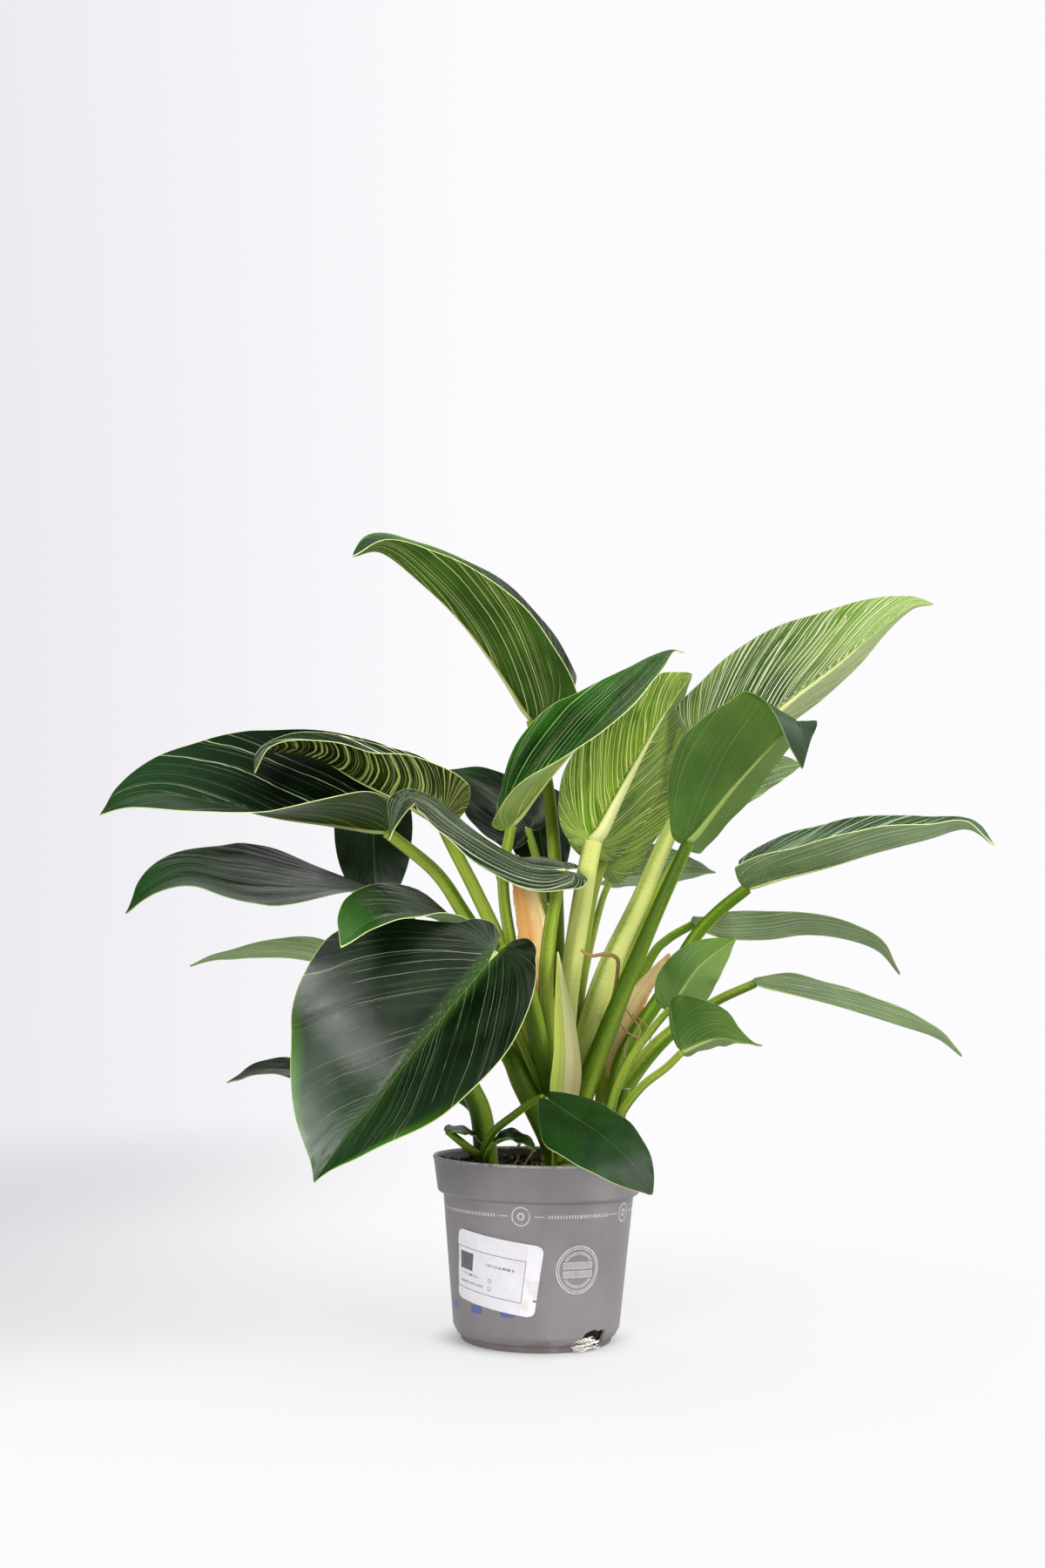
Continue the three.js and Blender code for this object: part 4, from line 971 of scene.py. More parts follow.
def vein_lines_effect():
    """The side veins themselves: faint even lines from the rib to the margin, and the skin between them."""
    n, given = new_effect("vein lines", Count=16, Width=0.08, Sweep=0.1)
    t, v, side = n.note("place")
    seed = n.note("spot")[2]
    c = lean_of(n, t, v, given["Sweep"])
    drift = n.noise(n.vector(n.times(c, 6), v, n.plus(seed, side)), 1, 1)
    across = n.plus(n.times(c, given["Count"]), n.times(drift, 0.9), n.times(side, 0.21))
    off = n.off_middle(across)
    line = n.between(off, given["Width"], n.times(given["Width"], 0.2))
    strength = n.noise(n.vector(n.math("FLOOR", across), n.times(v, 1.5), side), 1, 1)
    reach = n.times(n.between(v, 1.0, 0.75), n.between(strength, 0.3, 0.6))
    uneven = n.noise(n.vector(n.times(c, 14), n.times(v, 1.3), seed), 1, 2)
    n.give(Line=n.times(line, reach), Swell=n.plus(n.times(n.between(off, 0.0, 0.5), 0.12), uneven))


def leaf_edges_effect():
    """Where a blade's point is: on the rib line, near the margin, and how far along the leaf."""
    n, given = new_effect("leaf edges", Rib_Width=1.0, Margin_Width=0.02)
    along, out = n.note("spot")[:2]
    v = n.note("place")[1]
    narrowing = n.times(given["Rib Width"], n.minus(1.1, along))
    n.give(
        Rib=n.between(out, narrowing, n.times(narrowing, 0.4)),
        Margin=n.between(v, n.minus(1, given["Margin Width"]), 1),
        Along=along,
        Haze=n.times(n.between(out, 9, 0.5), n.minus(1, along)),
    )


def leaf_skin_effect():
    """Fine pores, dust specks and slow unevenness of a leaf's skin."""
    n, given = new_effect("leaf skin", Pores=2600, Patches=45)
    where = n.own_place()
    n.give(
        Height=n.noise(where, given["Pores"], 2),
        Patch=n.noise(where, given["Patches"], 3),
        Speck=n.specks(where, 420, 0.12, 0.05, n.between(n.noise(where, 70, 1), 0.6, 0.68)),
    )


def lengthwise_effect():
    """Long soft streaks and fibres that run up a stalk, sheath or stem."""
    n, given = new_effect("lengthwise streaks", Streaks=5, Run=2.2)
    u, turn = n.note("place")[:2]
    seed = n.note("spot")[2]
    angle = n.times(turn, 2 * math.pi)
    x = n.times(n.math("COSINE", angle), given["Streaks"])
    y = n.times(n.math("SINE", angle), given["Streaks"])
    z = n.plus(n.times(u, given["Run"]), n.times(seed, 7))
    streak = n.noise(n.vector(n.times(x, 0.35), n.times(y, 0.35), z), 1, 2)
    fibre = n.noise(n.vector(n.times(x, 2), n.times(y, 2), z), 1, 3, 0.6)
    n.give(Streak=streak, Fibre=fibre, Along=u)


def wall_place_effect():
    """Where a point of the pot's wall is: degrees round from the front, millimetres up and out."""
    n = new_effect("wall place")[0]
    x, y, z = n.parts(n.own_place())
    angle = n.times(n.math("ARCTAN2", x, n.times(y, -1)), 180 / math.pi)
    radius = n.times(n.math("SQRT", n.plus(n.times(x, x), n.times(y, y))), 1 / MM)
    n.give(Angle=angle, Height=n.times(z, 1 / MM), Radius=radius)


def ring_mark_effect():
    """A printed ring, in millimetres from its centre."""
    n, given = new_effect("ring mark", Across=0, Up=0, Radius=5, Line=0.5)
    reach = n.math("SQRT", n.plus(n.math("POWER", given["Across"], 2), n.math("POWER", given["Up"], 2)))
    off = n.absolute(n.minus(reach, given["Radius"]))
    half = n.times(given["Line"], 0.5)
    n.give(Mark=n.between(off, n.plus(half, 0.12), half))


def box_mark_effect():
    """A printed bar, or the thin frame of a box, in millimetres from its centre."""
    n, given = new_effect("box mark", Across=0, Up=0, Width=5, Height=1)
    aside = n.minus(n.absolute(given["Across"]), n.times(given["Width"], 0.5))
    above = n.minus(n.absolute(given["Up"]), n.times(given["Height"], 0.5))
    off = n.most(aside, above)
    n.give(Mark=n.between(off, 0.08, -0.04), Frame=n.between(n.absolute(off), 0.26, 0.1))


# ---- Leaf finishes ----------------------------------------------------------------------------------


def leaf_face(name, deep, fresh, streak, cover, **more):
    """One face of a blade: ground colour, pinstripes, veins, rib line and margin.

    Deep and fresh mix in the ground. The tip and the outer edge may have tones of their own, and
    the left half a paler tone that is painted light, each with a share; edge_along says between
    which places along the leaf the edge's tone comes in.
    """
    look = dict(
        count=40, width=0.1, run=2.0, sway=0.8, sweep=0.1, fade=0.0, strength=0.95,
        specular=0.3, gloss=0.36, relief=0.4, lumps=0.0, grain=0.022,
        veins=0.2, vein_count=18, vein=streak, rib=streak, rib_width=0.8, haze=0.0,
        margin=0.01, margin_colour=shade(176, 190, 112), wash=0.0, wash_colour=streak,
        tip=fresh, tip_share=0.0, tip_from=0.3, left_half=fresh, left_share=0.0,
        edge=fresh, edge_share=0.2, edge_from=0.6, edge_along=(-1.0, -0.5),
    )
    look.update(more)
    n = new_finish(name, look["gloss"], look["specular"])
    skin = n.effect("leaf skin")
    edges = n.effect("leaf edges", Rib_Width=look["rib_width"], Margin_Width=look["margin"])
    streaks = n.effect(
        "vein streaks", Count=look["count"], Cover=cover, Width=look["width"], Run=look["run"],
        Sway=look["sway"], Sweep=look["sweep"], Fade=look["fade"],
    )
    veins = n.effect("vein lines", Count=look["vein_count"], Sweep=look["sweep"])
    v, side = n.note("place")[1:3]
    tone = n.mix(n.between(skin["Patch"], 0.35, 0.65), deep, fresh)
    # A patchy mottle tone; on the blackish top it is painted sheen.
    tone = n.tint(tone, streaks["Wash"], look["wash_colour"], look["wash"])
    edge = n.times(n.between(v, look["edge_from"], 1.0), n.between(edges["Along"], *look["edge_along"]))
    tone = n.tint(tone, edge, look["edge"], look["edge_share"])
    tone = n.tint(tone, n.between(edges["Along"], look["tip_from"], 1.0), look["tip"], look["tip_share"])
    # Painted light: the left half takes a paler tone, as if it caught more light.
    tone = n.mix(n.between(side, 0.5, -0.5, 0.0, look["left_share"]), tone, look["left_half"])
    tone = n.tint(tone, edges["Haze"], look["rib"], look["haze"])
    tone = n.tint(tone, streaks["Streak"], streak, look["strength"])
    tone = n.tint(tone, veins["Line"], look["vein"], look["veins"])
    tone = n.tint(tone, edges["Rib"], look["rib"], 0.8)
    tone = n.mix(edges["Margin"], tone, look["margin_colour"])
    tone = n.tint(tone, skin["Speck"], shade(196, 200, 170), 0.3)
    rough = n.between(skin["Patch"], 0.3, 0.7, look["gloss"] - 0.05, look["gloss"] + 0.08)
    n.feed(n.shader["Roughness"], rough)
    height = n.plus(n.times(veins["Swell"], look["relief"]), n.times(skin["Height"], look["grain"]))
    height = n.minus(height, n.times(streaks["Streak"], 0.04))
    return n.surface(tone, n.plus(height, n.times(skin["Patch"], look["lumps"])), 0.6, 0.0012)


def leaf_finishes():
    cream = shade(218, 224, 130)
    white = shade(196, 212, 168)
    yellow = shade(196, 204, 90)
    made = {
        "deep_top": leaf_face(
            "leaf top, deep green", shade(4, 19, 3), shade(9, 32, 6), white, 0.62,
            count=44, width=0.013, run=3.0, sway=1.5, fade=0.2, strength=0.8, sweep=0.14, veins=0.12,
            vein=shade(70, 110, 50), rib=shade(78, 116, 40), rib_width=0.5, haze=0.35,
            edge=shade(74, 128, 14), edge_from=0.84, edge_share=0.9, edge_along=(0.45, 0.85),
            tip=shade(16, 62, 10), tip_share=0.5, tip_from=0.4, gloss=0.3, relief=0.5, specular=0.3,
            lumps=0.3, grain=0.06,
        ),
        "sparse_top": leaf_face(
            "leaf top, few lines", shade(3, 15, 4), shade(5, 22, 6), shade(206, 214, 168), 0.5,
            count=11, width=0.011, run=2.4, sway=0.6, strength=0.9, sweep=0.24, veins=0.06,
            rib=shade(78, 116, 40), rib_width=0.5, tip=shade(20, 58, 18), tip_share=0.8, tip_from=0.35,
            gloss=0.36, relief=0.4, lumps=0.5, specular=0.06, margin=0.005,
        ),
        "fresh_top": leaf_face(
            "leaf top, fresh green", shade(8, 48, 0), shade(20, 76, 2), shade(222, 234, 180), 0.62,
            count=18, width=0.034, run=3.5, sway=0.4, sweep=0.5, strength=1.0, veins=0.06,
            rib=shade(150, 176, 90), rib_width=0.5, gloss=0.46, edge=shade(60, 120, 20), edge_share=0.4,
            specular=0.06, relief=0.5, margin_colour=shade(214, 222, 180), margin=0.014,
        ),
        "gloss_top": leaf_face(
            "leaf top, small and glossy", shade(8, 28, 5), shade(14, 42, 8), shade(120, 150, 90), 0.3,
            count=22, width=0.03, sweep=0.3, strength=0.5, veins=0.1, rib=shade(90, 130, 50),
            rib_width=0.5, tip=shade(40, 92, 16), tip_share=0.8, tip_from=0.45, gloss=0.28, relief=0.8,
            lumps=1.4,
        ),
        # Painted sheen: the grey mottle on this blackish top stands in for silver sheen on its folds.
        "glare_top": leaf_face(
            "leaf top, blackish green", shade(5, 13, 5), shade(10, 22, 8), shade(128, 142, 116), 0.5,
            count=34, width=0.03, run=1.6, strength=0.5, sweep=0.42, veins=0.1,
            rib=shade(60, 84, 44), rib_width=0.5, gloss=0.3, tip=shade(22, 66, 12), tip_share=0.9,
            tip_from=0.45, relief=2.6, lumps=2.0, specular=0.08, wash=0.7, wash_colour=shade(84, 92, 82),
        ),
        "dark_top": leaf_face(
            "leaf top, plain dark", shade(7, 24, 7), shade(12, 36, 10), shade(80, 110, 60), 0.3,
            count=26, width=0.03, sweep=0.25, strength=0.3, veins=0.05, rib=shade(70, 104, 44),
            rib_width=0.5, gloss=0.32, relief=0.4, lumps=1.4, specular=0.3,
        ),
        "silver_top": leaf_face(
            "leaf top, silver striped", shade(14, 34, 16), shade(24, 48, 24), shade(226, 232, 198), 0.62,
            count=9, width=0.055, run=1.2, sway=0.5, sweep=0.6, strength=1.0, veins=0.1,
            wash=0.35, wash_colour=shade(52, 78, 52), rib=shade(168, 184, 124), gloss=0.46, specular=0.04,
            relief=0.3, margin=0.02, margin_colour=shade(206, 214, 150),
        ),
        "brushed_top": leaf_face(
            "leaf top, silver brushed", shade(20, 48, 22), shade(34, 66, 32), shade(192, 206, 178), 0.72,
            count=30, width=0.08, run=1.8, sweep=0.2, strength=0.8, veins=0.15, wash=0.5,
            wash_colour=shade(82, 112, 78), rib=shade(168, 184, 124), gloss=0.4, relief=0.4, lumps=0.6,
            specular=0.2, margin=0.03, margin_colour=shade(206, 214, 180),
        ),
        "plain_top": leaf_face(
            "leaf top, plain green", shade(10, 38, 5), shade(20, 56, 9), shade(120, 150, 80), 0.3,
            count=20, width=0.03, sweep=0.3, strength=0.2, veins=0.06, rib=shade(60, 100, 28),
            rib_width=0.35, gloss=0.36, relief=0.12, margin_colour=shade(196, 206, 150), specular=0.18,
        ),
        "striped_top": leaf_face(
            "leaf top, cream striped", shade(14, 44, 8), shade(30, 66, 14), cream, 0.66,
            count=40, width=0.1, run=1.8, veins=0.2, rib=shade(184, 198, 116),
        ),
        "cream_under": leaf_face(
            "underside, cream striped", shade(58, 98, 0), shade(94, 132, 6), shade(222, 228, 140), 0.78,
            count=54, width=0.085, run=2.6, sway=1.8, sweep=0.12, veins=0.2, vein=cream, wash=0.35,
            wash_colour=shade(128, 158, 34), rib=yellow, rib_width=2.0, gloss=0.46, relief=0.8,
            edge=shade(36, 78, 0), edge_share=0.6, edge_from=0.4, edge_along=(0.6, 0.0), specular=0.15,
        ),
        "cream_dark_under": leaf_face(
            "underside, cream on dark", shade(10, 28, 3), shade(24, 48, 6), shade(222, 230, 130), 0.8,
            count=42, width=0.068, run=1.6, sway=0.4, sweep=-0.06, veins=0.1, vein=cream, wash=0.25,
            wash_colour=shade(80, 112, 26), rib=yellow, rib_width=1.0, gloss=0.46, relief=0.8,
        ),
        "mottled_under": leaf_face(
            "underside, mottled base", shade(24, 52, 4), shade(46, 84, 10), shade(236, 239, 198), 0.84,
            count=62, width=0.1, run=4.0, sway=2.2, sweep=0.16, veins=0.1, vein=cream, wash=0.6,
            # Painted light: the left half is painted paler, as if lit more.
            left_half=shade(150, 176, 92), left_share=0.6,
            wash_colour=shade(120, 152, 56), rib=yellow, rib_width=0.9, gloss=0.46,
            tip=shade(116, 156, 46), tip_share=0.9, relief=0.8, specular=0.15,
        ),
        "olive_under": leaf_face(
            "underside, olive striped", shade(44, 74, 16), shade(60, 94, 22), shade(210, 218, 136), 0.62,
            count=18, width=0.042, run=1.0, sway=0.6, sweep=0.3, veins=0.12, vein=shade(130, 156, 60),
            rib=yellow, rib_width=1.6, gloss=0.42, relief=0.6, specular=0.1,
        ),
        "plain_under": leaf_face(
            "underside, plain green", shade(52, 86, 14), shade(64, 98, 20), shade(150, 172, 96), 0.5,
            count=22, width=0.03, run=0.8, sweep=0.4, strength=0.5, veins=0.2, vein_count=24,
            vein=shade(104, 136, 60), rib=shade(128, 158, 70), rib_width=1.0, gloss=0.46, relief=0.8,
            # Painted sheen: the lighter tip stands in for sheen near the top of the leaf.
            margin_colour=shade(124, 152, 66), edge=shade(50, 84, 18), tip=shade(104, 140, 40),
            # Painted light: the left half is painted paler, as if lit more.
            tip_share=0.55, tip_from=0.25, left_half=shade(116, 144, 74), left_share=0.65,
        ),
        "mild_under": leaf_face(
            "underside, mild green", shade(62, 104, 28), shade(88, 128, 46), shade(146, 174, 96), 0.36,
            count=20, width=0.05, run=1.0, sweep=0.25, strength=0.5, veins=0.2, vein_count=20,
            rib=shade(140, 168, 76), rib_width=1.4, gloss=0.46, relief=0.8,
        ),
        "grey_under": leaf_face(
            "underside, greyish green", shade(96, 124, 72), shade(122, 148, 90), shade(206, 218, 178), 0.78,
            count=13, width=0.06, run=1.2, sweep=0.5, strength=0.85, specular=0.15, veins=0.25,
            vein_count=22, rib=shade(166, 186, 120), rib_width=1.2, gloss=0.46, relief=0.8,
        ),
        "pale_under": leaf_face(
            "underside, pale", shade(112, 148, 40), shade(148, 176, 70), shade(220, 226, 150), 0.68,
            count=30, width=0.1, run=1.6, sweep=0.2, veins=0.2, rib=yellow, rib_width=1.6, gloss=0.46,
            relief=0.8,
        ),
    }
    made["margin_pale"] = margin_finish("leaf margin, pale", shade(178, 192, 110), shade(220, 226, 164))
    made["margin_green"] = margin_finish("leaf margin, green", shade(84, 118, 40), shade(132, 160, 84))
    made["rib"] = rib_finish()
    made["stalk_cream"] = stalk_finish("stalk, cream", shade(200, 206, 118), shade(92, 124, 10), 0.42)
    made["stalk_fresh"] = stalk_finish("stalk, fresh green", shade(158, 176, 66), shade(78, 112, 8), 0.42)
    made["stalk_olive"] = stalk_finish("stalk, olive", shade(140, 158, 50), shade(72, 100, 12), 0.45)
    # The last tone is the painted shade at the stalk's foot.
    made["stalk_green"] = stalk_finish(
        "stalk, mid green", shade(124, 148, 44), shade(62, 90, 8), 0.45, shade(50, 74, 10)
    )
    return made


def margin_finish(name, dark, pale):
    n = new_finish(name, 0.45, 0.3)
    skin = n.effect("leaf skin", Patches=160)
    return n.surface(n.mix(skin["Patch"], dark, pale))


def rib_finish():
    """The rib's underside, green or cream by the third value of its place."""
    n = new_finish("rib underside", 0.42, 0.3)
    along = n.effect("lengthwise streaks", Streaks=4, Run=3)
    green = n.mix(along["Streak"], shade(104, 136, 48), shade(138, 162, 70))
    cream = n.mix(along["Streak"], shade(196, 204, 118), shade(226, 226, 168))
    return n.surface(n.mix(n.note("place")[2], green, cream), along["Fibre"], 0.3, 0.0004)


def stalk_finish(name, pale, green, share, base=shade(150, 156, 74)):
    """A stalk: green down one flank and pale down the other, in long streaks, with a mealy skin.
    Its foot takes an olive tone of painted shade.
    """
    n = new_finish(name, 0.4, 0.15)
    along = n.effect("lengthwise streaks", Streaks=2.6, Run=1.3)
    skin = n.effect("leaf skin", Patches=900)
    turn = n.plus(n.note("place")[1], n.times(n.note("spot")[2], 0.37))
    flank = n.math("COSINE", n.times(turn, 2 * math.pi))
    greener = n.plus(n.swing(along["Streak"], 2.6), n.times(flank, 0.45), n.swing(skin["Patch"], 0.8))
    tone = n.mix(n.math("ADD", greener, 1 - share, clamp=True), pale, green)
    # Painted shade: an olive tone that darkens the foot of the stalk.
    tone = n.tint(tone, n.between(along["Along"], 0.2, 0.0), base, 0.5)
    tone = n.tint(tone, skin["Speck"], shade(96, 84, 50), 0.7)
    return n.surface(tone, n.plus(along["Fibre"], along["Streak"]), 0.25, 0.0006)


def stem_finish():
    """Short stems with brown ring scars where old leaves fell."""
    n = new_finish("short stems", 0.6)
    along = n.effect("lengthwise streaks", Streaks=6, Run=1.5)
    tone = n.mix(along["Streak"], shade(86, 104, 44), shade(140, 150, 74))
    scar = n.between(n.off_middle(n.times(along["Along"], 9)), 0.12, 0.03)
    tone = n.tint(tone, scar, shade(112, 84, 50), 0.7)
    return n.surface(tone, n.minus(along["Fibre"], scar), 0.6, 0.001)


def cut_face_finish():
    """A dried cut: brown at the middle, pale towards the skin."""
    n = new_finish("cut face", 0.7)
    outwards = n.note("place")[2]
    return n.surface(n.mix(n.between(outwards, 0.35, 0.75), shade(84, 66, 46), shade(222, 220, 200)))


# ---- Pot ------------------------------------------------------------------------------------------


def wall_radius(height):
    """The outer radius of the plain wall between the bevel and the lip."""
    share = (height - BEVEL_HEIGHT) / (LIP_FOOT - 2 - BEVEL_HEIGHT)
    return WALL_FOOT_RADIUS + share * (WALL_TOP_RADIUS - WALL_FOOT_RADIUS)


def round_z(radius, angle, height):
    """Points at a distance from Z; the angle runs from the front to the right."""
    return triples(radius * np.sin(angle), -radius * np.cos(angle), height)


def lathe(form, profile, turns=160, flip=False):
    """A wall round Z from (radius, height) points."""
    radius, height = np.array(profile, float).T[..., None]
    form.add_band(form.add_points(round_z(radius, full_turn(turns), height)), 0, flip)


def rounded(profile, radius):
    """The profile with each inner corner turned into a small arc."""
    soft = [profile[0]]
    for before, corner, after in zip(profile, profile[1:], profile[2:]):
        b, c, a = (np.array(p, float) for p in (before, corner, after))
        reach = min(radius, np.linalg.norm(b - c) * 0.45, np.linalg.norm(a - c) * 0.45)
        start = c + unit(b - c) * reach
        stop = c + unit(a - c) * reach
        for s in np.linspace(0, 1, 5):
            soft.append(tuple((1 - s) ** 2 * start + 2 * s * (1 - s) * c + s * s * stop))
    soft.append(profile[-1])
    return soft


def pot_profile():
    outside = [
        (0, 1.2), (FOOT_RADIUS - 6, 1.2), (FOOT_RADIUS - 5, 0), (FOOT_RADIUS, 0),
        (FOOT_RADIUS + 0.6, FOOT_RING_HEIGHT), (FOOT_RADIUS + 2.4, FOOT_RING_HEIGHT + 1),
        (WALL_FOOT_RADIUS, BEVEL_HEIGHT), (wall_radius(30), 30), (wall_radius(55), 55),
        (WALL_TOP_RADIUS, LIP_FOOT - 2), (LIP_FOOT_RADIUS - 0.6, LIP_FOOT - 0.6),
        (LIP_FOOT_RADIUS, LIP_FOOT + 0.4), (RIM_RADIUS - 0.4, POT_HEIGHT - 2.2),
        (RIM_RADIUS, POT_HEIGHT - 1.6), (RIM_RADIUS, POT_HEIGHT - 0.4), (RIM_RADIUS - 0.5, POT_HEIGHT),
    ]
    inside = [
        (RIM_RADIUS - POT_WALL, POT_HEIGHT), (LIP_FOOT_RADIUS - POT_WALL, LIP_FOOT + 1.4),
        (WALL_TOP_RADIUS - POT_WALL, LIP_FOOT - 1), (WALL_FOOT_RADIUS - POT_WALL, BEVEL_HEIGHT + 0.6),
        (FOOT_RADIUS - 0.4, FOOT_RING_HEIGHT), (0, FOOT_RING_HEIGHT),
    ]
    return rounded([*outside, *inside], 0.5)


def drain_cutter(angle, seed):
    """A notch through wall and foot whose upper edge is torn."""
    draw = random.Random(seed)
    form = Form()
    steps = 11
    across = np.linspace(-DRAIN_HALF_WIDTH, DRAIN_HALF_WIDTH, steps + 1)
    torn = [
        DRAIN_HIGH - 2.4 + 1.6 * math.sin(3 * i / steps) + draw.uniform(-0.8, 0.5) for i in range(1, steps)
    ]
    heights = (DRAIN_HIGH - 3.4, *torn, DRAIN_HIGH - 1)
    rows = [triples(across, y, height) for y in DRAIN_REACH for height in (heights, DRAIN_LOW)]
    front_top, front_low, back_top, back_low = (form.add_points(row) for row in rows)
    form.add_sheet(np.stack([front_top, back_top, back_low, front_low, front_top]), 0)
    for end in (0, -1):
        corners = [int(row[end]) for row in (front_top, front_low, back_low, back_top)]
        form.faces.append(corners if end == 0 else corners[::-1])
    mesh = form.mesh("drain cutter")
    mesh.transform(Matrix.Rotation(math.radians(angle), 4, "Z"))
    tidy = bmesh.new()
    tidy.from_mesh(mesh)
    bmesh.ops.recalc_face_normals(tidy, faces=tidy.faces)
    tidy.to_mesh(mesh)
    tidy.free()
    return show("drain cutter", mesh)


def cut_away(piece, cutters):
    """Cuts the cutters' shapes out of the piece and takes the cutters away."""
    for cutter in cutters:
        cut = piece.modifiers.new("cut", "BOOLEAN")
        cut.operation = "DIFFERENCE"
        cut.solver = "EXACT"
        cut.object = cutter
    shape = piece.evaluated_get(bpy.context.evaluated_depsgraph_get())
    mesh = bpy.data.meshes.new_from_object(shape)
    piece.modifiers.clear()
    piece.data = mesh
    for cutter in cutters:
        bpy.data.objects.remove(cutter)


def make_pot():
    form = Form()
    lathe(form, pot_profile(), flip=True)
    pot = form.piece("nursery_pot", [pot_finish()], "pot_plastic", ["pot"])
    cut_away(pot, [drain_cutter(angle, 5 + i) for i, angle in enumerate(DRAIN_ANGLES)])
    for polygon in pot.data.polygons:
        polygon.use_smooth = True
    pot.data.set_sharp_from_angle(angle=math.radians(35))


def pot_finish():
    """Recycled grey plastic with a pale print, darker in brownish patches towards its foot
    and marked at its rim.
    """
    n = new_finish("grey pot plastic", 0.5)
    wall = n.effect("wall place")
    angle, height = wall["Angle"], wall["Height"]
    where = n.own_place()
    cloud = n.noise(where, 28, 4)
    grain = n.noise(where, 1400, 2)
    tone = n.mix(n.between(cloud, 0.3, 0.7), shade(114, 110, 112), shade(127, 122, 124))
    tone = n.tint(tone, print_mark(n, angle, height), shade(206, 204, 210), 0.72)
    tone = n.tint(tone, blue_mark(n, angle, height), shade(72, 84, 148), 0.8)
    # Darker brownish patches, thickest towards the foot.
    tone = n.tint(tone, grime(n, where, height), shade(96, 84, 76), 0.6)
    rim = n.times(n.between(height, 98.2, 99.4), n.between(n.noise(where, 240, 3), 0.35, 0.6))
    tone = n.tint(tone, rim, shade(190, 184, 178), 0.6)
    scuff = n.specks(where, 180, 0.1, 0.03, n.between(n.noise(where, 60, 1), 0.6, 0.7))
    tone = n.tint(tone, scuff, shade(186, 182, 182), 0.5)
    soil = n.mix(n.noise(where, 420, 3), shade(18, 15, 11), shade(62, 47, 35))
    tone = n.mix(soiled(n, where, wall), tone, soil)
    n.feed(n.shader["Roughness"], n.between(cloud, 0.3, 0.7, 0.42, 0.56))
    orange_peel = n.plus(n.times(grain, 0.4), n.times(n.noise(where, 160, 2), 0.6))
    return n.surface(tone, orange_peel, 0.25, 0.0006)


def soiled(n, where, wall):
    """Where soil clings to the inside of the lip, with a ragged upper edge."""
    height = wall["Height"]
    lip = n.plus(n.times(n.minus(height, LIP_FOOT), LIP_SLOPE), LIP_FOOT_RADIUS)
    inside = n.between(n.minus(wall["Radius"], lip), -0.9, -1.3)
    ragged = n.between(n.plus(height, n.times(n.noise(where, 130, 4), 7.0)), 102.8, 101.4)
    return n.times(inside, ragged, n.between(height, LIP_FOOT + 2, LIP_FOOT + 3))


def on_wall(n, angle, height, middle, level):
    """Millimetres across and up from a point of the wall."""
    across = n.times(n.minus(angle, middle), math.radians(wall_radius(level)))
    return {"Across": across, "Up": n.minus(height, level)}


def print_mark(n, angle, height):
    """A printed band of rings joined by lines and plain ticks, and one round stamp."""
    half = BAND_PITCH / 2
    turn = n.math("FLOORED_MODULO", n.plus(angle, half - BAND_START), BAND_PITCH)
    spot = on_wall(n, turn, height, half, BAND_HEIGHT)
    across, up = spot["Across"], spot["Up"]
    ring = n.effect("ring mark", Across=across, Up=up, Radius=4.8, Line=0.55)
    core = n.effect("ring mark", Across=across, Up=up, Radius=1.6, Line=0.8)
    aside = n.absolute(across)
    line = n.effect("box mark", Across=n.minus(aside, 10.0), Up=up, Width=5.6, Height=0.45)
    row = n.effect("box mark", Across=n.minus(aside, 24.0), Up=up, Width=20.0, Height=1.7)
    ticks = n.times(row["Mark"], n.between(n.off_middle(n.times(across, 0.62)), 0.26, 0.2))
    worn = n.between(n.noise(n.own_place(), 420, 2), 0.3, 0.5, 0.45, 1.0)
    marks = n.most(ring["Mark"], core["Mark"], line["Mark"], ticks, round_stamp(n, angle, height))
    return n.times(marks, worn)


def round_stamp(n, angle, height):
    """Two rings, a ring of short ticks between them and two plain boxes."""
    spot = on_wall(n, angle, height, STAMP_ANGLE, STAMP_HEIGHT)
    across, up = spot["Across"], spot["Up"]
    outer, inner, band = (
        n.effect("ring mark", Radius=radius, Line=line, **spot)["Mark"]
        for radius, line in ((12.4, 0.6), (11.2, 0.35), (8.9, 1.5))
    )
    turn = n.times(n.math("ARCTAN2", across, up), 22 / math.pi)
    ends = n.between(n.absolute(up), 4.6, 5.0)
    marks = [outer, inner, n.times(band, n.between(n.off_middle(turn), 0.3, 0.22), ends)]
    for level in (2.3, -2.3):
        bar = n.effect("box mark", Across=across, Up=n.minus(up, level), Width=17, Height=3.2)
        marks += [bar["Frame"], n.times(bar["Mark"], 0.45)]
    front = n.between(n.absolute(n.minus(angle, STAMP_ANGLE)), 16.0, 15.8)
    return n.times(n.most(*marks), front)


def blue_mark(n, angle, height):
    """Small blue boxes printed low on the wall, part of them under the label."""
    spots = (on_wall(n, angle, height, middle, BLUE_HEIGHT) for middle in BLUE_ANGLES)
    return n.most(*(n.effect("box mark", Width=8.0, Height=4.2, **spot)["Mark"] for spot in spots))


def grime(n, where, height):
    """Darker brownish patches that thicken low on the pot and in its foot, some at the rim, and faint smears
    above.
    """
    patches = n.noise(where, 75, 5, 0.65)
    low = n.between(n.plus(patches, n.times(n.between(height, 11.0, 1.0), 0.45)), 0.72, 0.95)
    rim = n.times(n.between(height, 97.5, 99.6), n.between(patches, 0.5, 0.66))
    drawn_out = n.node("ShaderNodeMapping", {0: where, 3: (40, 40, 9)}).outputs[0]
    smears = n.between(n.noise(drawn_out, 1, 4), 0.64, 0.78)
    return n.most(low, rim, n.times(smears, 0.25))


# ---- Label ------------------------------------------------------------------------------------------


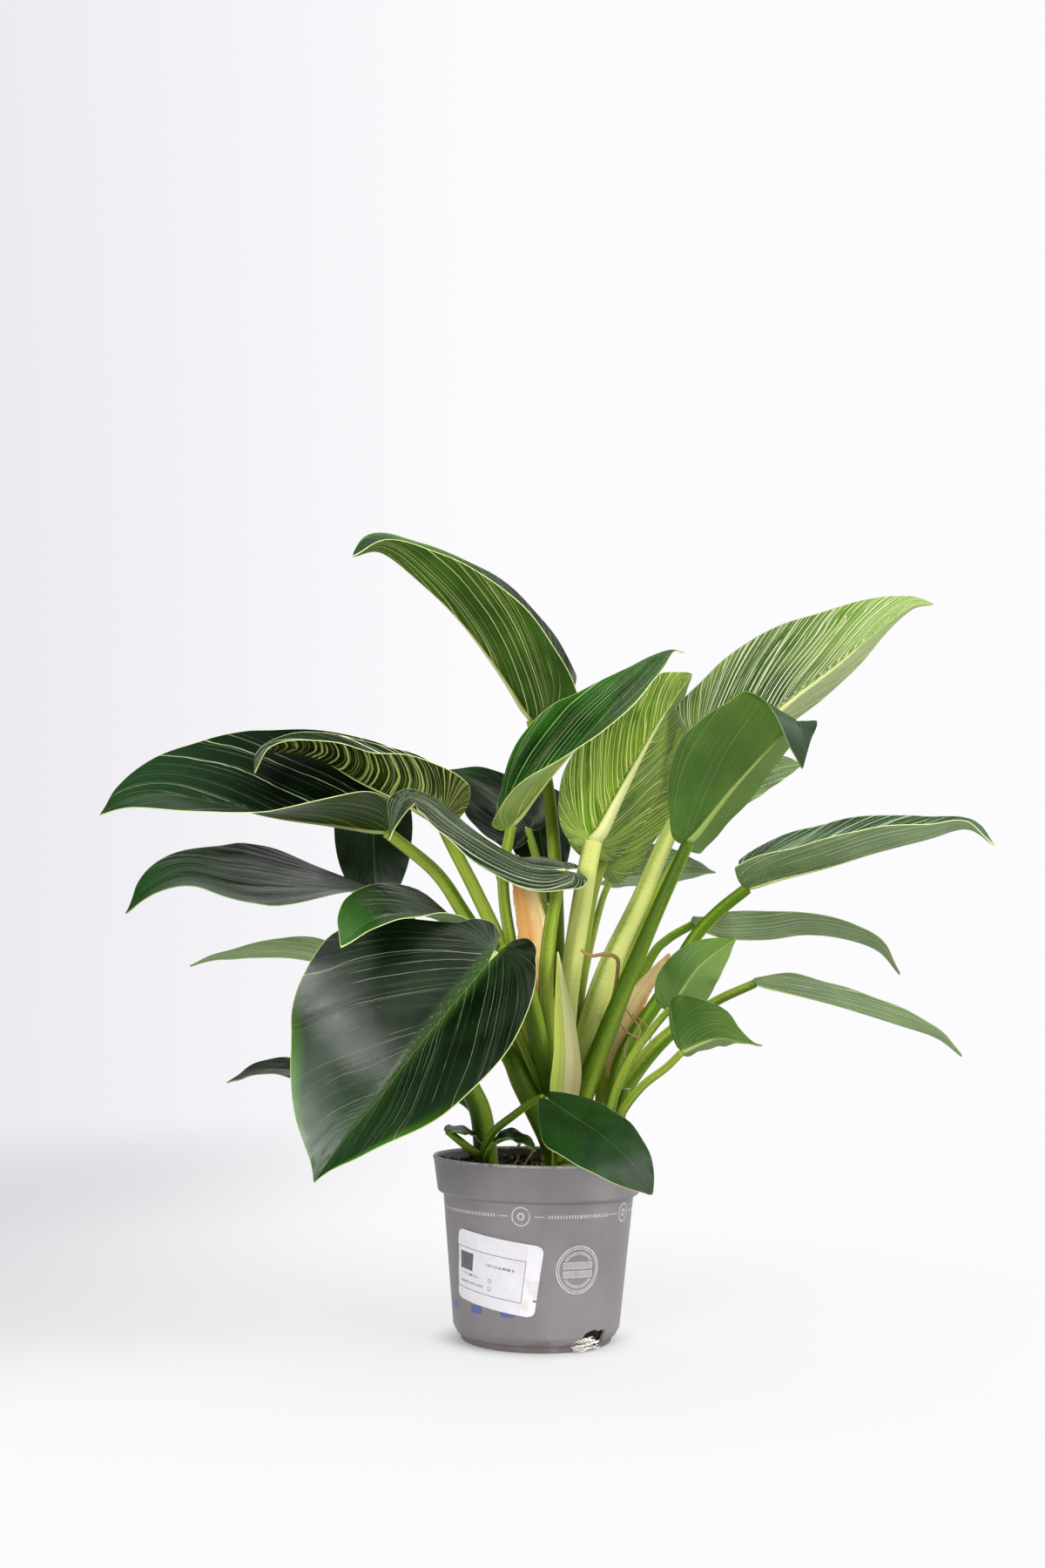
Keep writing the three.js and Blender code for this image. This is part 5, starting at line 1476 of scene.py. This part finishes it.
def make_label():
    """A paper label wrapped on the wall, a little askew; its finish knows each point's place on it."""
    width, tall = LABEL_SIZE
    x, y = np.meshgrid(np.linspace(-width / 2, width / 2, 61), np.linspace(-tall / 2, tall / 2, 45))
    over = np.maximum(0, np.abs(y) - (tall / 2 - LABEL_CORNER))
    flat = x * (1 - (LABEL_CORNER - np.sqrt(np.maximum(0, LABEL_CORNER**2 - over**2))) / (width / 2))
    tilt = math.radians(LABEL_TILT)
    along = flat * math.cos(tilt) - y * math.sin(tilt)
    height = LABEL_CENTRE_HEIGHT + flat * math.sin(tilt) + y * math.cos(tilt)
    angle = along / wall_radius(LABEL_CENTRE_HEIGHT) + math.radians(LABEL_ANGLE)
    bubbles = 0.12 * np.sin(flat * 0.35 + 0.4 * y) * (np.abs(flat) > 4)
    form = Form()
    sheets = []
    for lift in (LABEL_GAP + LABEL_THICKNESS, LABEL_GAP):
        radius = wall_radius(height) + lift + bubbles
        sheets.append(form.add_points(round_z(radius, angle, height), triples(flat, y, 0)))
    front, back = sheets
    form.add_sheet(front, 0)
    form.add_sheet(back, 0, flip=True)
    form.add_rim(front, back, 1)
    form.piece("pot_label", [label_finish(), paper_edge_finish()], "label_paper", ["label"])


def label_finish():
    """White paper with a thin frame, one dark box and plain bars of grey print."""
    n = new_finish("label paper", 0.55, 0.3)
    x, y = n.note("place")[:2]
    where = n.own_place()
    paper = n.mix(n.noise(where, 260, 3), shade(208, 205, 210), shade(222, 220, 226))
    paper = n.tint(paper, n.between(x, 17.6, 17.9), shade(228, 226, 231), 0.5)

    def box(middle_x, middle_y, width, height):
        spot = {"Across": n.minus(x, middle_x), "Up": n.minus(y, middle_y)}
        return n.effect("box mark", Width=width, Height=height, **spot)

    broken = n.between(n.noise(n.vector(n.times(x, 1.5), n.times(y, 0.35)), 1, 0), 0.46, 0.5)
    ink = [box(-4, -1.3, 43.5, 22)["Frame"], box(-18.4, 2.6, 10, 9.4)["Mark"]]
    for line in ((4, 3.6, 17, 1.3), (-15, -4.4, 15, 1.2), (-14, -8.6, 17, 1.2)):
        ink.append(n.times(box(*line)["Mark"], broken, 0.8))
    for level in (-4.4, -8.8):
        ink.append(n.times(box(-1.5, level, 1.7, 1.7)["Frame"], 0.8))
    tone = n.tint(paper, n.most(*ink), shade(26, 26, 27), 0.85)
    tone = n.tint(tone, box(-18.4, 2.6, 6, 5.6)["Frame"], shade(120, 120, 122), 0.6)
    stain = n.times(n.between(n.noise(where, 130, 4), 0.58, 0.7), n.between(x, 2, 12))
    tone = n.tint(tone, stain, shade(196, 176, 152), 0.35)
    tone = n.mix(box(25.2, -10.2, 2.2, 0.9)["Mark"], tone, shade(112, 66, 44))
    dot = n.specks(where, 150, 0.08, 0.03, n.between(n.noise(where, 90, 1), 0.6, 0.66))
    tone = n.tint(tone, dot, shade(88, 74, 60), 0.7)
    return n.surface(tone, n.noise(where, 900, 3), 0.12, 0.0004)


def paper_edge_finish():
    n = new_finish("label paper edge", 0.7)
    return n.surface(n.mix(n.noise(n.own_place(), 300, 2), shade(206, 203, 206), shade(228, 226, 228)))


# ---- Soil, crumbs and the wad in the drain hole ------------------------------------------------------


def soil_height(x, y):
    """Low lumps with finer ones on them."""
    lump = np.sin(0.31 * x + 1.3) * np.cos(0.27 * y) + 0.6 * np.sin(0.53 * y - 0.4 * x)
    fine = np.sin(1.9 * x + 0.7 * y) * np.cos(1.6 * y - 0.5 * x) + 0.5 * np.sin(3.7 * x - 2.9 * y)
    return SOIL_LEVEL + 1.6 * lump + 0.5 * fine


def on_soil(radius, angle, lift=0.0):
    """A point over the soil, so far out and so far round."""
    x, y = radius * math.sin(angle), -radius * math.cos(angle)
    return x, y, float(soil_height(x, y)) + lift


def make_soil():
    form = Form()
    lathe(form, SOIL_BODY, COARSE_TURNS, flip=True)
    top = round_z(np.linspace(1, 0, 29)[:, None] * SOIL_EDGE, full_turn(COARSE_TURNS), SOIL_LEVEL - 1.0)
    top[1:, :, 2] = soil_height(*np.moveaxis(top[1:], -1, 0)[:2])
    form.add_band(form.add_points(top), 0, flip=True)
    form.piece("potting_soil", [soil_finish()], "soil", ["soil"])


def chip(form, middle, size, draw, finish=0):
    """A rough lump: three rings of six corners pulled out of shape."""
    stretch = [size * draw.uniform(0.5, 1.1) for _ in range(3)]
    turn = Matrix.Rotation(draw.uniform(0, 6.3), 3, "Z") @ Matrix.Rotation(draw.uniform(0, 3.1), 3, "X")
    rows = []
    for z, reach in ((-0.75, 0.5), (-0.1, 1), (0.7, 0.6)):
        row = []
        for k in range(6):
            a = k * math.pi / 3
            pull = draw.uniform(0.7, 1.15) * reach
            p = Vector((stretch[0] * pull * math.cos(a), stretch[1] * pull * math.sin(a), stretch[2] * z))
            row.append(tuple(turn @ p + Vector(middle)))
        rows.append(row)
    index = form.add_points(np.array(rows), (draw.random(), draw.random(), 0))
    form.add_band(index, finish)
    tone = (draw.random(), draw.random(), 0)
    caps = form.add_points([np.mean(rows[0], axis=0), np.mean(rows[2], axis=0)], tone)
    form.add_fan(index[0], caps[0], finish, flip=True)
    form.add_fan(index[2], caps[1], finish)


def make_crumbs():
    """Crumbs of bark and fibre on the soil, banked up at the wall, and dust on the rim at the front left."""
    draw = random.Random(31)
    form = Form()
    for _ in range(CRUMBS):
        radius = SOIL_EDGE * math.sqrt(draw.random()) * 0.97
        angle = draw.uniform(0, 2 * math.pi)
        size = draw.choice((0.7, 0.9, 1.2, 1.6, 2.3))
        chip(form, on_soil(radius, angle, 0.3 * size), size, draw)
    for _ in range(BANKED_CRUMBS):
        angle = draw.uniform(0, 2 * math.pi)
        reach = draw.random() ** 0.6
        bank = reach * (3.4 + 2.8 * math.cos(angle + 1.7)) * draw.uniform(0.1, 1)
        x, y, height = on_soil(SOIL_EDGE - 8 * (1 - reach), angle, bank)
        chip(form, (x, y, min(height, POT_HEIGHT - 2)), draw.choice((0.8, 1.1, 1.5, 1.9)), draw)
    for _ in range(RIM_CRUMBS):
        angle = math.radians(draw.uniform(-75, -15))
        inwards = draw.uniform(1.2, 3.4)
        sunk = 0.1
        if inwards >= POT_WALL:
            inwards, sunk = POT_WALL + 0.3, draw.uniform(0.3, 1.6)
        x, y, _ = on_soil(RIM_RADIUS - inwards, angle)
        chip(form, (x, y, POT_HEIGHT - sunk), draw.choice((0.25, 0.35, 0.5)), draw)
    for _ in range(SOIL_FIBRES):
        add_soil_fibre(form, draw)
    form.piece("soil_crumbs", [crumb_finish(), fibre_finish("soil fibres", 0.35)], "soil")


def add_soil_fibre(form, draw):
    """A short bent fibre that lies on the soil; one that would reach the wall ends before it."""
    radius = SOIL_EDGE * math.sqrt(draw.random()) * 0.9
    x, y, _ = on_soil(radius, draw.uniform(0, 2 * math.pi))
    heading = draw.uniform(0, 2 * math.pi)
    reach = draw.uniform(4, 11)
    points = []
    for k in range(4):
        px = x + reach * k / 3 * math.cos(heading) + draw.uniform(-1, 1)
        py = y + reach * k / 3 * math.sin(heading) + draw.uniform(-1, 1)
        if math.hypot(px, py) > SOIL_EDGE - 1:
            break
        points.append((px, py, float(soil_height(px, py)) + 0.7 + draw.uniform(0, 1.2)))
    if len(points) > 2:
        thick = draw.uniform(0.35, 0.8)
        add_tube(form, Path(points), (thick, thick * 0.6), (thick, thick * 0.6), 1, 6, 10)


def soil_finish():
    n = new_finish("potting soil", 0.95, 0.2)
    where = n.own_place()
    coarse = n.noise(where, 260, 5, 0.7)
    tone = n.mix(n.between(coarse, 0.35, 0.7), shade(22, 17, 13), shade(66, 49, 36))
    fleck = n.between(n.noise(where, 900, 2), 0.66, 0.72)
    return n.surface(n.mix(fleck, tone, shade(150, 120, 84)), coarse, 1.0, 0.003)


def crumb_finish():
    """Dark crumbs, of which a few are pale; the first two values of each crumb's place are its own."""
    n = new_finish("soil crumbs", 0.9, 0.2)
    where = n.own_place()
    one, two = n.note("place")[:2]
    tone = n.mix(n.between(one, 0.3, 1.0), shade(24, 18, 13), shade(78, 56, 38))
    tone = n.mix(n.between(two, 0.92, 0.98), tone, shade(176, 146, 104))
    tone = n.tint(tone, n.noise(where, 700, 3), shade(44, 32, 24), 0.5)
    return n.surface(tone, n.noise(where, 1600, 3), 0.7, 0.0008)


def fibre_finish(name, pale):
    n = new_finish(name, 0.8, 0.3)
    along = n.effect("lengthwise streaks", Streaks=3, Run=4)
    tone = n.mix(along["Streak"], shade(96, 66, 40), shade(196, 164, 118))
    return n.surface(n.mix(pale, tone, shade(238, 235, 228)), along["Fibre"], 0.4, 0.0004)


def make_root_wad():
    """Whitish root and fleece fibres that fill the front drain hole, with crumbs caught in them."""
    draw = random.Random(8)
    form = Form()
    turn = math.radians(DRAIN_ANGLES[0] - 3)
    across = np.array((math.cos(turn), math.sin(turn), 0))
    outward = np.array((math.sin(turn), -math.cos(turn), 0))
    for _ in range(WAD_FIBRES):
        side = draw.uniform(-7.5, 4.5)
        high = draw.uniform(1.6, 7.4)
        depth = draw.uniform(39, 46.2)
        lean = draw.uniform(-0.5, 0.5)
        points = []
        for s in np.linspace(-0.5, 0.5, 5):
            bow = math.cos(math.pi * s) * draw.uniform(0.6, 1.8)
            place = across * (side + s * draw.uniform(4, 9)) + outward * min(depth + bow, 47.0)
            height = max(0.5, high + s * 3 * lean + draw.uniform(-0.6, 0.6))
            points.append((place[0], place[1], height))
        thick = draw.uniform(0.25, 0.75)
        width = (thick * 0.5, thick, thick * 0.4)
        add_tube(form, Path(points), width, width, 0, 6, 12)
    for _ in range(WAD_CRUMBS):
        place = across * draw.uniform(-8, 7) + outward * draw.uniform(38, 45.5)
        middle = (place[0], place[1], draw.uniform(1.4, 8.5))
        chip(form, middle, draw.choice((0.4, 0.6, 0.9)), draw, 1)
    wad_finishes = [fibre_finish("fleece and root fibres", 0.95), crumb_finish()]
    form.piece("root_wad_fibres", wad_finishes, "root_wad", ["root_wad"])


# ---- Stems, sheaths, root and stub -------------------------------------------------------------------


def make_stems():
    finish = stem_finish()
    for stem in STEMS:
        form = Form()
        width = np.repeat(stem["width"], 3) * STEM_SWELLS
        add_tube(form, Path(stem["path"]), width, width, 0, 28, 40, flutes=0.04, seed=1.7)
        form.piece(f"{stem['name']}_bark", [finish], "stem", [stem["name"]])


def make_stub():
    """A cut leaf stalk whose dried face has sunk in at its middle."""
    form = Form()
    path = Path(CUT_STUB["path"])
    width = CUT_STUB["width"]
    ring = add_tube(form, path, width, width, 0, 20, 20, flutes=0.03, seed=2.1)
    top = np.array(CUT_STUB["path"][-1], float)
    lift = path.along(np.array([1.0]))[0]
    outer = np.vstack(form.points)[ring[-1]]
    reach, raised, pale = np.array(CUT_FACE).T[..., None]
    rings = top + (outer - top) * reach[..., None] + lift * raised[..., None]
    form.add_band(form.add_points(rings, triples(np.zeros(20), 0, pale)), 1)
    form.piece("cut_stub_end", [finishes["stalk_olive"], cut_face_finish()], "stem", ["cut_stub"])


def add_rolled_sheet(form, path, width, cup, thick, seed, columns, rows=60, crease=0.0, tear=0.0):
    """A long scale leaf: a sheet cupped round its path, creased along its length, torn at its edge."""
    draw = random.Random(seed)
    u = np.linspace(0, 1, rows + 1)
    middle, across, back = path.sections(u)
    s = np.linspace(-1, 1, columns + 1)
    wide = smooth_through([(w, 0, 0) for w in width], u)[:, 0]
    wide = np.maximum(wide, 0.4)[:, None] / 2
    jag = np.array([draw.uniform(-1, 1) for _ in range(rows + 1)]) * tear
    reach = s[None] * (1 + np.abs(s[None]) ** 6 * jag[:, None])
    folds = crease * (np.sin(9 * s[None] + 3 * u[:, None]) + 0.5 * np.sin(17 * s[None] - 5 * u[:, None]))
    angle = reach * cup
    side = wide * np.sin(angle) / max(math.sin(cup), 0.2)
    lift = wide * (1 - np.cos(angle)) + folds * wide * 0.12
    front = middle[:, None] + side[..., None] * across[:, None] + lift[..., None] * back[:, None]
    notes = triples(u[:, None], (s[None] + 1) / 2, 0.0)
    near = form.add_points(front, notes, (0, 0, seed))
    far = form.add_points(front + back[:, None] * thick, notes, (0, 0, seed))
    form.add_sheet(near, 0)
    form.add_sheet(far, 0, flip=True)
    form.add_rim(near, far, 0)


def make_sheaths():
    pale = Form()
    add_rolled_sheet(pale, Path(PALE_SHEATH["path"]), PALE_SHEATH["width"], 1.15, 0.9, 3, 20)
    pale.piece("pale_sheath_leaf", [pale_sheath_finish()], "pale_sheath", ["sheath_pale"])
    for name, shape, seed, cup, first, last in (
        ("left", DRY_SHEATH_LEFT, 4, 0.6, 0.4, 0.75), ("right", DRY_SHEATH_RIGHT, 6, 0.5, 0.9, 0.7),
    ):
        dry = Form()
        add_rolled_sheet(dry, Path(shape["path"]), shape["width"], cup, 0.5, seed, 22, 90, 0.5, 0.05)
        finish = dry_sheath_finish(seed, first, last)
        dry.piece(f"dry_sheath_leaf_{name}", [finish], "dry_sheath", [f"sheath_dry_{name}"])


def pale_sheath_finish():
    """Green-yellow on its left flank, cream on its right, and a pinkish foot; fine long streaks."""
    n = new_finish("pale sheath", 0.5, 0.2)
    along = n.effect("lengthwise streaks", Streaks=7, Run=1.2)
    skin = n.effect("leaf skin", Patches=500)
    across = n.note("place")[1]
    uneven = n.swing(along["Fibre"], 0.5)
    right = n.between(n.plus(across, uneven), 0.3, 0.62)
    left_tone = n.mix(along["Streak"], shade(150, 176, 48), shade(206, 214, 110))
    right_tone = n.mix(along["Streak"], shade(240, 236, 160), shade(250, 244, 196))
    tone = n.mix(right, left_tone, right_tone)
    blush = n.times(n.between(along["Along"], 0.62, 0.25), n.between(across, 0.5, 0.95))
    tone = n.tint(tone, blush, shade(236, 206, 156), 0.6)
    keel = n.between(n.absolute(n.minus(across, 0.46)), 0.05, 0.0)
    tone = n.tint(tone, keel, shade(170, 188, 84), 0.5)
    streak = n.times(n.between(along["Fibre"], 0.58, 0.7), 0.5)
    tone = n.mix(streak, tone, shade(150, 172, 60))
    tone = n.tint(tone, skin["Speck"], shade(120, 84, 50), 0.9)
    return n.surface(tone, n.minus(along["Fibre"], keel), 0.5, 0.0008)


def dry_sheath_finish(seed, first, last):
    """Papery: orange where across is under first, light tan where it is over last."""
    n = new_finish(f"dry sheath {seed}", 0.7, 0.2)
    along = n.effect("lengthwise streaks", Streaks=9, Run=1.4)
    across = n.note("place")[1]
    skin = n.effect("leaf skin", Patches=120)
    orange = n.mix(along["Streak"], shade(224, 156, 80), shade(236, 188, 122))
    tan = n.mix(along["Streak"], shade(244, 210, 140), shade(250, 226, 170))
    uneven = n.plus(across, n.swing(skin["Patch"], 0.4))
    tone = n.mix(n.between(uneven, first, last), orange, tan)
    tone = n.tint(tone, n.between(along["Fibre"], 0.6, 0.74), shade(190, 128, 62), 0.35)
    tone = n.tint(tone, n.between(along["Along"], 0.94, 1.0), shade(150, 98, 50), 0.4)
    return n.surface(tone, n.plus(along["Fibre"], along["Streak"]), 0.6, 0.001)


def make_aerial_root():
    form = Form()
    width = AERIAL_ROOT["width"]
    add_tube(form, Path(AERIAL_ROOT["path"]), width, width, 0, 12, 110, flutes=0.05, seed=5.1)
    form.piece("aerial_root_skin", [root_finish()], "root", ["aerial_root"])


def root_finish():
    n = new_finish("aerial root", 0.7, 0.3)
    along = n.effect("lengthwise streaks", Streaks=3, Run=9)
    tone = n.mix(along["Streak"], shade(104, 80, 38), shade(164, 134, 74))
    tone = n.mix(n.between(along["Along"], 0.14, 0.02), tone, shade(168, 128, 76))
    return n.surface(tone, along["Fibre"], 0.6, 0.0008)


def make_dry_strands():
    """Frayed brown strands by the right dry sheath and bits of dry root on the soil."""
    form = Form()
    for points in DRY_STRANDS:
        add_tube(form, Path(points), (0.5, 1.1, 0.8, 0.3), (0.4, 0.9, 0.6, 0.3), 0, 7, 40, seed=1.3)
    for points in DRY_ROOTS:
        add_tube(form, Path(points), (1.6, 1.9, 1.2, 0.5), (1.5, 1.7, 1.1, 0.4), 1, 9, 36, seed=2.9)
    form.piece("dry_strands", [fibre_finish("frayed strands", 0.0), root_finish()], "root")


# ---- Floor, light and camera ----------------------------------------------------------------------


def backdrop_tone(n, heading):
    """The studio's pale backdrop, with painted shade: a little greyer to the left than to the right."""
    x = n.parts(heading)[0]
    return n.mix(n.between(x, -0.36, -0.02, kind="LINEAR"), shade(232, 231, 236), shade(252, 251, 254))


def make_floor():
    """A wide pale floor that turns into the backdrop. It glows in its own tone as painted light, with
    painted shade that makes it darker to the left; near the pot it takes more of the real light.
    """
    form = Form()
    reach = np.concatenate([np.linspace(0, 800, 12), np.linspace(1000, 6000, 10)])
    lathe(form, [(r, 0) for r in reach], COARSE_TURNS)
    n = new_finish("studio floor", 0.9, 0.1)
    place = n.node("ShaderNodeNewGeometry").outputs["Position"]
    away = n.node("ShaderNodeVectorMath", {0: place}, operation="LENGTH").outputs["Value"]
    front = n.node("ShaderNodeVectorMath", {0: place, 1: STUDIO_FRONT}, operation="SUBTRACT").outputs[0]
    heading = n.node("ShaderNodeVectorMath", {0: front}, operation="NORMALIZE").outputs[0]
    x, y = n.parts(place)[:2]
    brighter = n.plus(x, n.times(n.math("MINIMUM", y, 0.0), -0.8))
    near_tone = n.mix(n.between(brighter, -0.5, -0.05), FLOOR_LEFT, FLOOR_RIGHT)
    tone = n.mix(n.between(away, 0.6, 1.8), near_tone, backdrop_tone(n, heading))
    n.feed(n.shader["Base Color"], n.mix(0.64, BLACK, near_tone))
    # Painted light: the floor glows in its own tone, darker to the left as painted shade.
    glow = n.node("ShaderNodeEmission", {"Color": tone, "Strength": 1.0}).outputs[0]
    share = n.plus(n.between(away, 0.04, 0.062, 0.2, 0.72), n.between(away, 0.1, 0.55, 0.0, 0.3))
    nodes = n.tree.nodes
    mixed = n.node("ShaderNodeMixShader", {0: share, 1: nodes["Principled BSDF"].outputs[0], 2: glow})
    n.feed(nodes["Material Output"].inputs["Surface"], mixed.outputs[0])
    floor = show("studio_floor", form.mesh("studio_floor"))
    floor.data.materials.append(n.material)
    floor.location.z = -0.0002


def make_light():
    """A pale studio: white behind and above the plant, dimmer on the side that the plant faces."""
    world = bpy.data.worlds.new("studio")
    bpy.context.scene.world = world
    world.use_nodes = True
    n = Tree(world.node_tree)
    heading = n.node("ShaderNodeTexCoord").outputs["Generated"]
    x, y, z = n.parts(heading)
    back = n.between(y, -0.3, 0.5, 0.16, 0.8)
    above = n.between(z, 0.25, 0.8, 0.0, 0.7)
    right = n.between(x, 0.2, 0.9, 0.0, 0.5)
    level = n.plus(n.times(n.plus(back, above), n.between(x, -0.85, -0.2, 0.3, 1.0)), right)
    room = n.node("ShaderNodeBackground", {"Color": WHITE, "Strength": level})
    seen = n.node("ShaderNodeBackground", {"Color": backdrop_tone(n, heading), "Strength": 1.0})
    straight = n.node("ShaderNodeLightPath").outputs["Is Camera Ray"]
    mixed = n.node("ShaderNodeMixShader", {0: straight, 1: room.outputs[0], 2: seen.outputs[0]})
    n.feed(n.tree.nodes["World Output"].inputs["Surface"], mixed.outputs[0])
    for name, place, size, power in LAMPS:
        lamp = bpy.data.lights.new(name, "AREA")
        lamp.size = size
        lamp.energy = power
        holder = show(name, lamp)
        holder.location = place
        holder.rotation_euler = (Vector(LAMPS_AIM) - Vector(place)).to_track_quat("-Z", "Y").to_euler()


def make_camera():
    data = bpy.data.cameras.new("camera")
    data.lens = CAMERA_LENS
    data.sensor_width = CAMERA_SENSOR
    data.clip_start = 0.01
    data.clip_end = 50
    camera = show("camera", data)
    level = Matrix.Rotation(math.radians(90 + CAMERA_PITCH), 4, "X")
    roll = Matrix.Rotation(math.radians(CAMERA_ROLL), 4, "Z")
    camera.matrix_world = Matrix.Translation(CAMERA_PLACE) @ level @ roll
    bpy.context.scene.camera = camera


# ---- Making ---------------------------------------------------------------------------------------

vein_streaks_effect()
vein_lines_effect()
leaf_edges_effect()
leaf_skin_effect()
lengthwise_effect()
wall_place_effect()
ring_mark_effect()
box_mark_effect()
finishes = leaf_finishes()

for number, leaf in enumerate(LARGE_LEAVES):
    make_leaf(leaf, 0.37 * number)
for number, leaf in enumerate(SMALL_LEAVES):
    make_leaf(leaf, 0.29 * number + 0.11, small=True)
make_stems()
make_stub()
make_sheaths()
make_aerial_root()
make_dry_strands()
make_pot()
make_label()
make_soil()
make_crumbs()
make_root_wad()
make_floor()
make_light()
make_camera()
bpy.context.scene.view_settings.view_transform = "Standard"
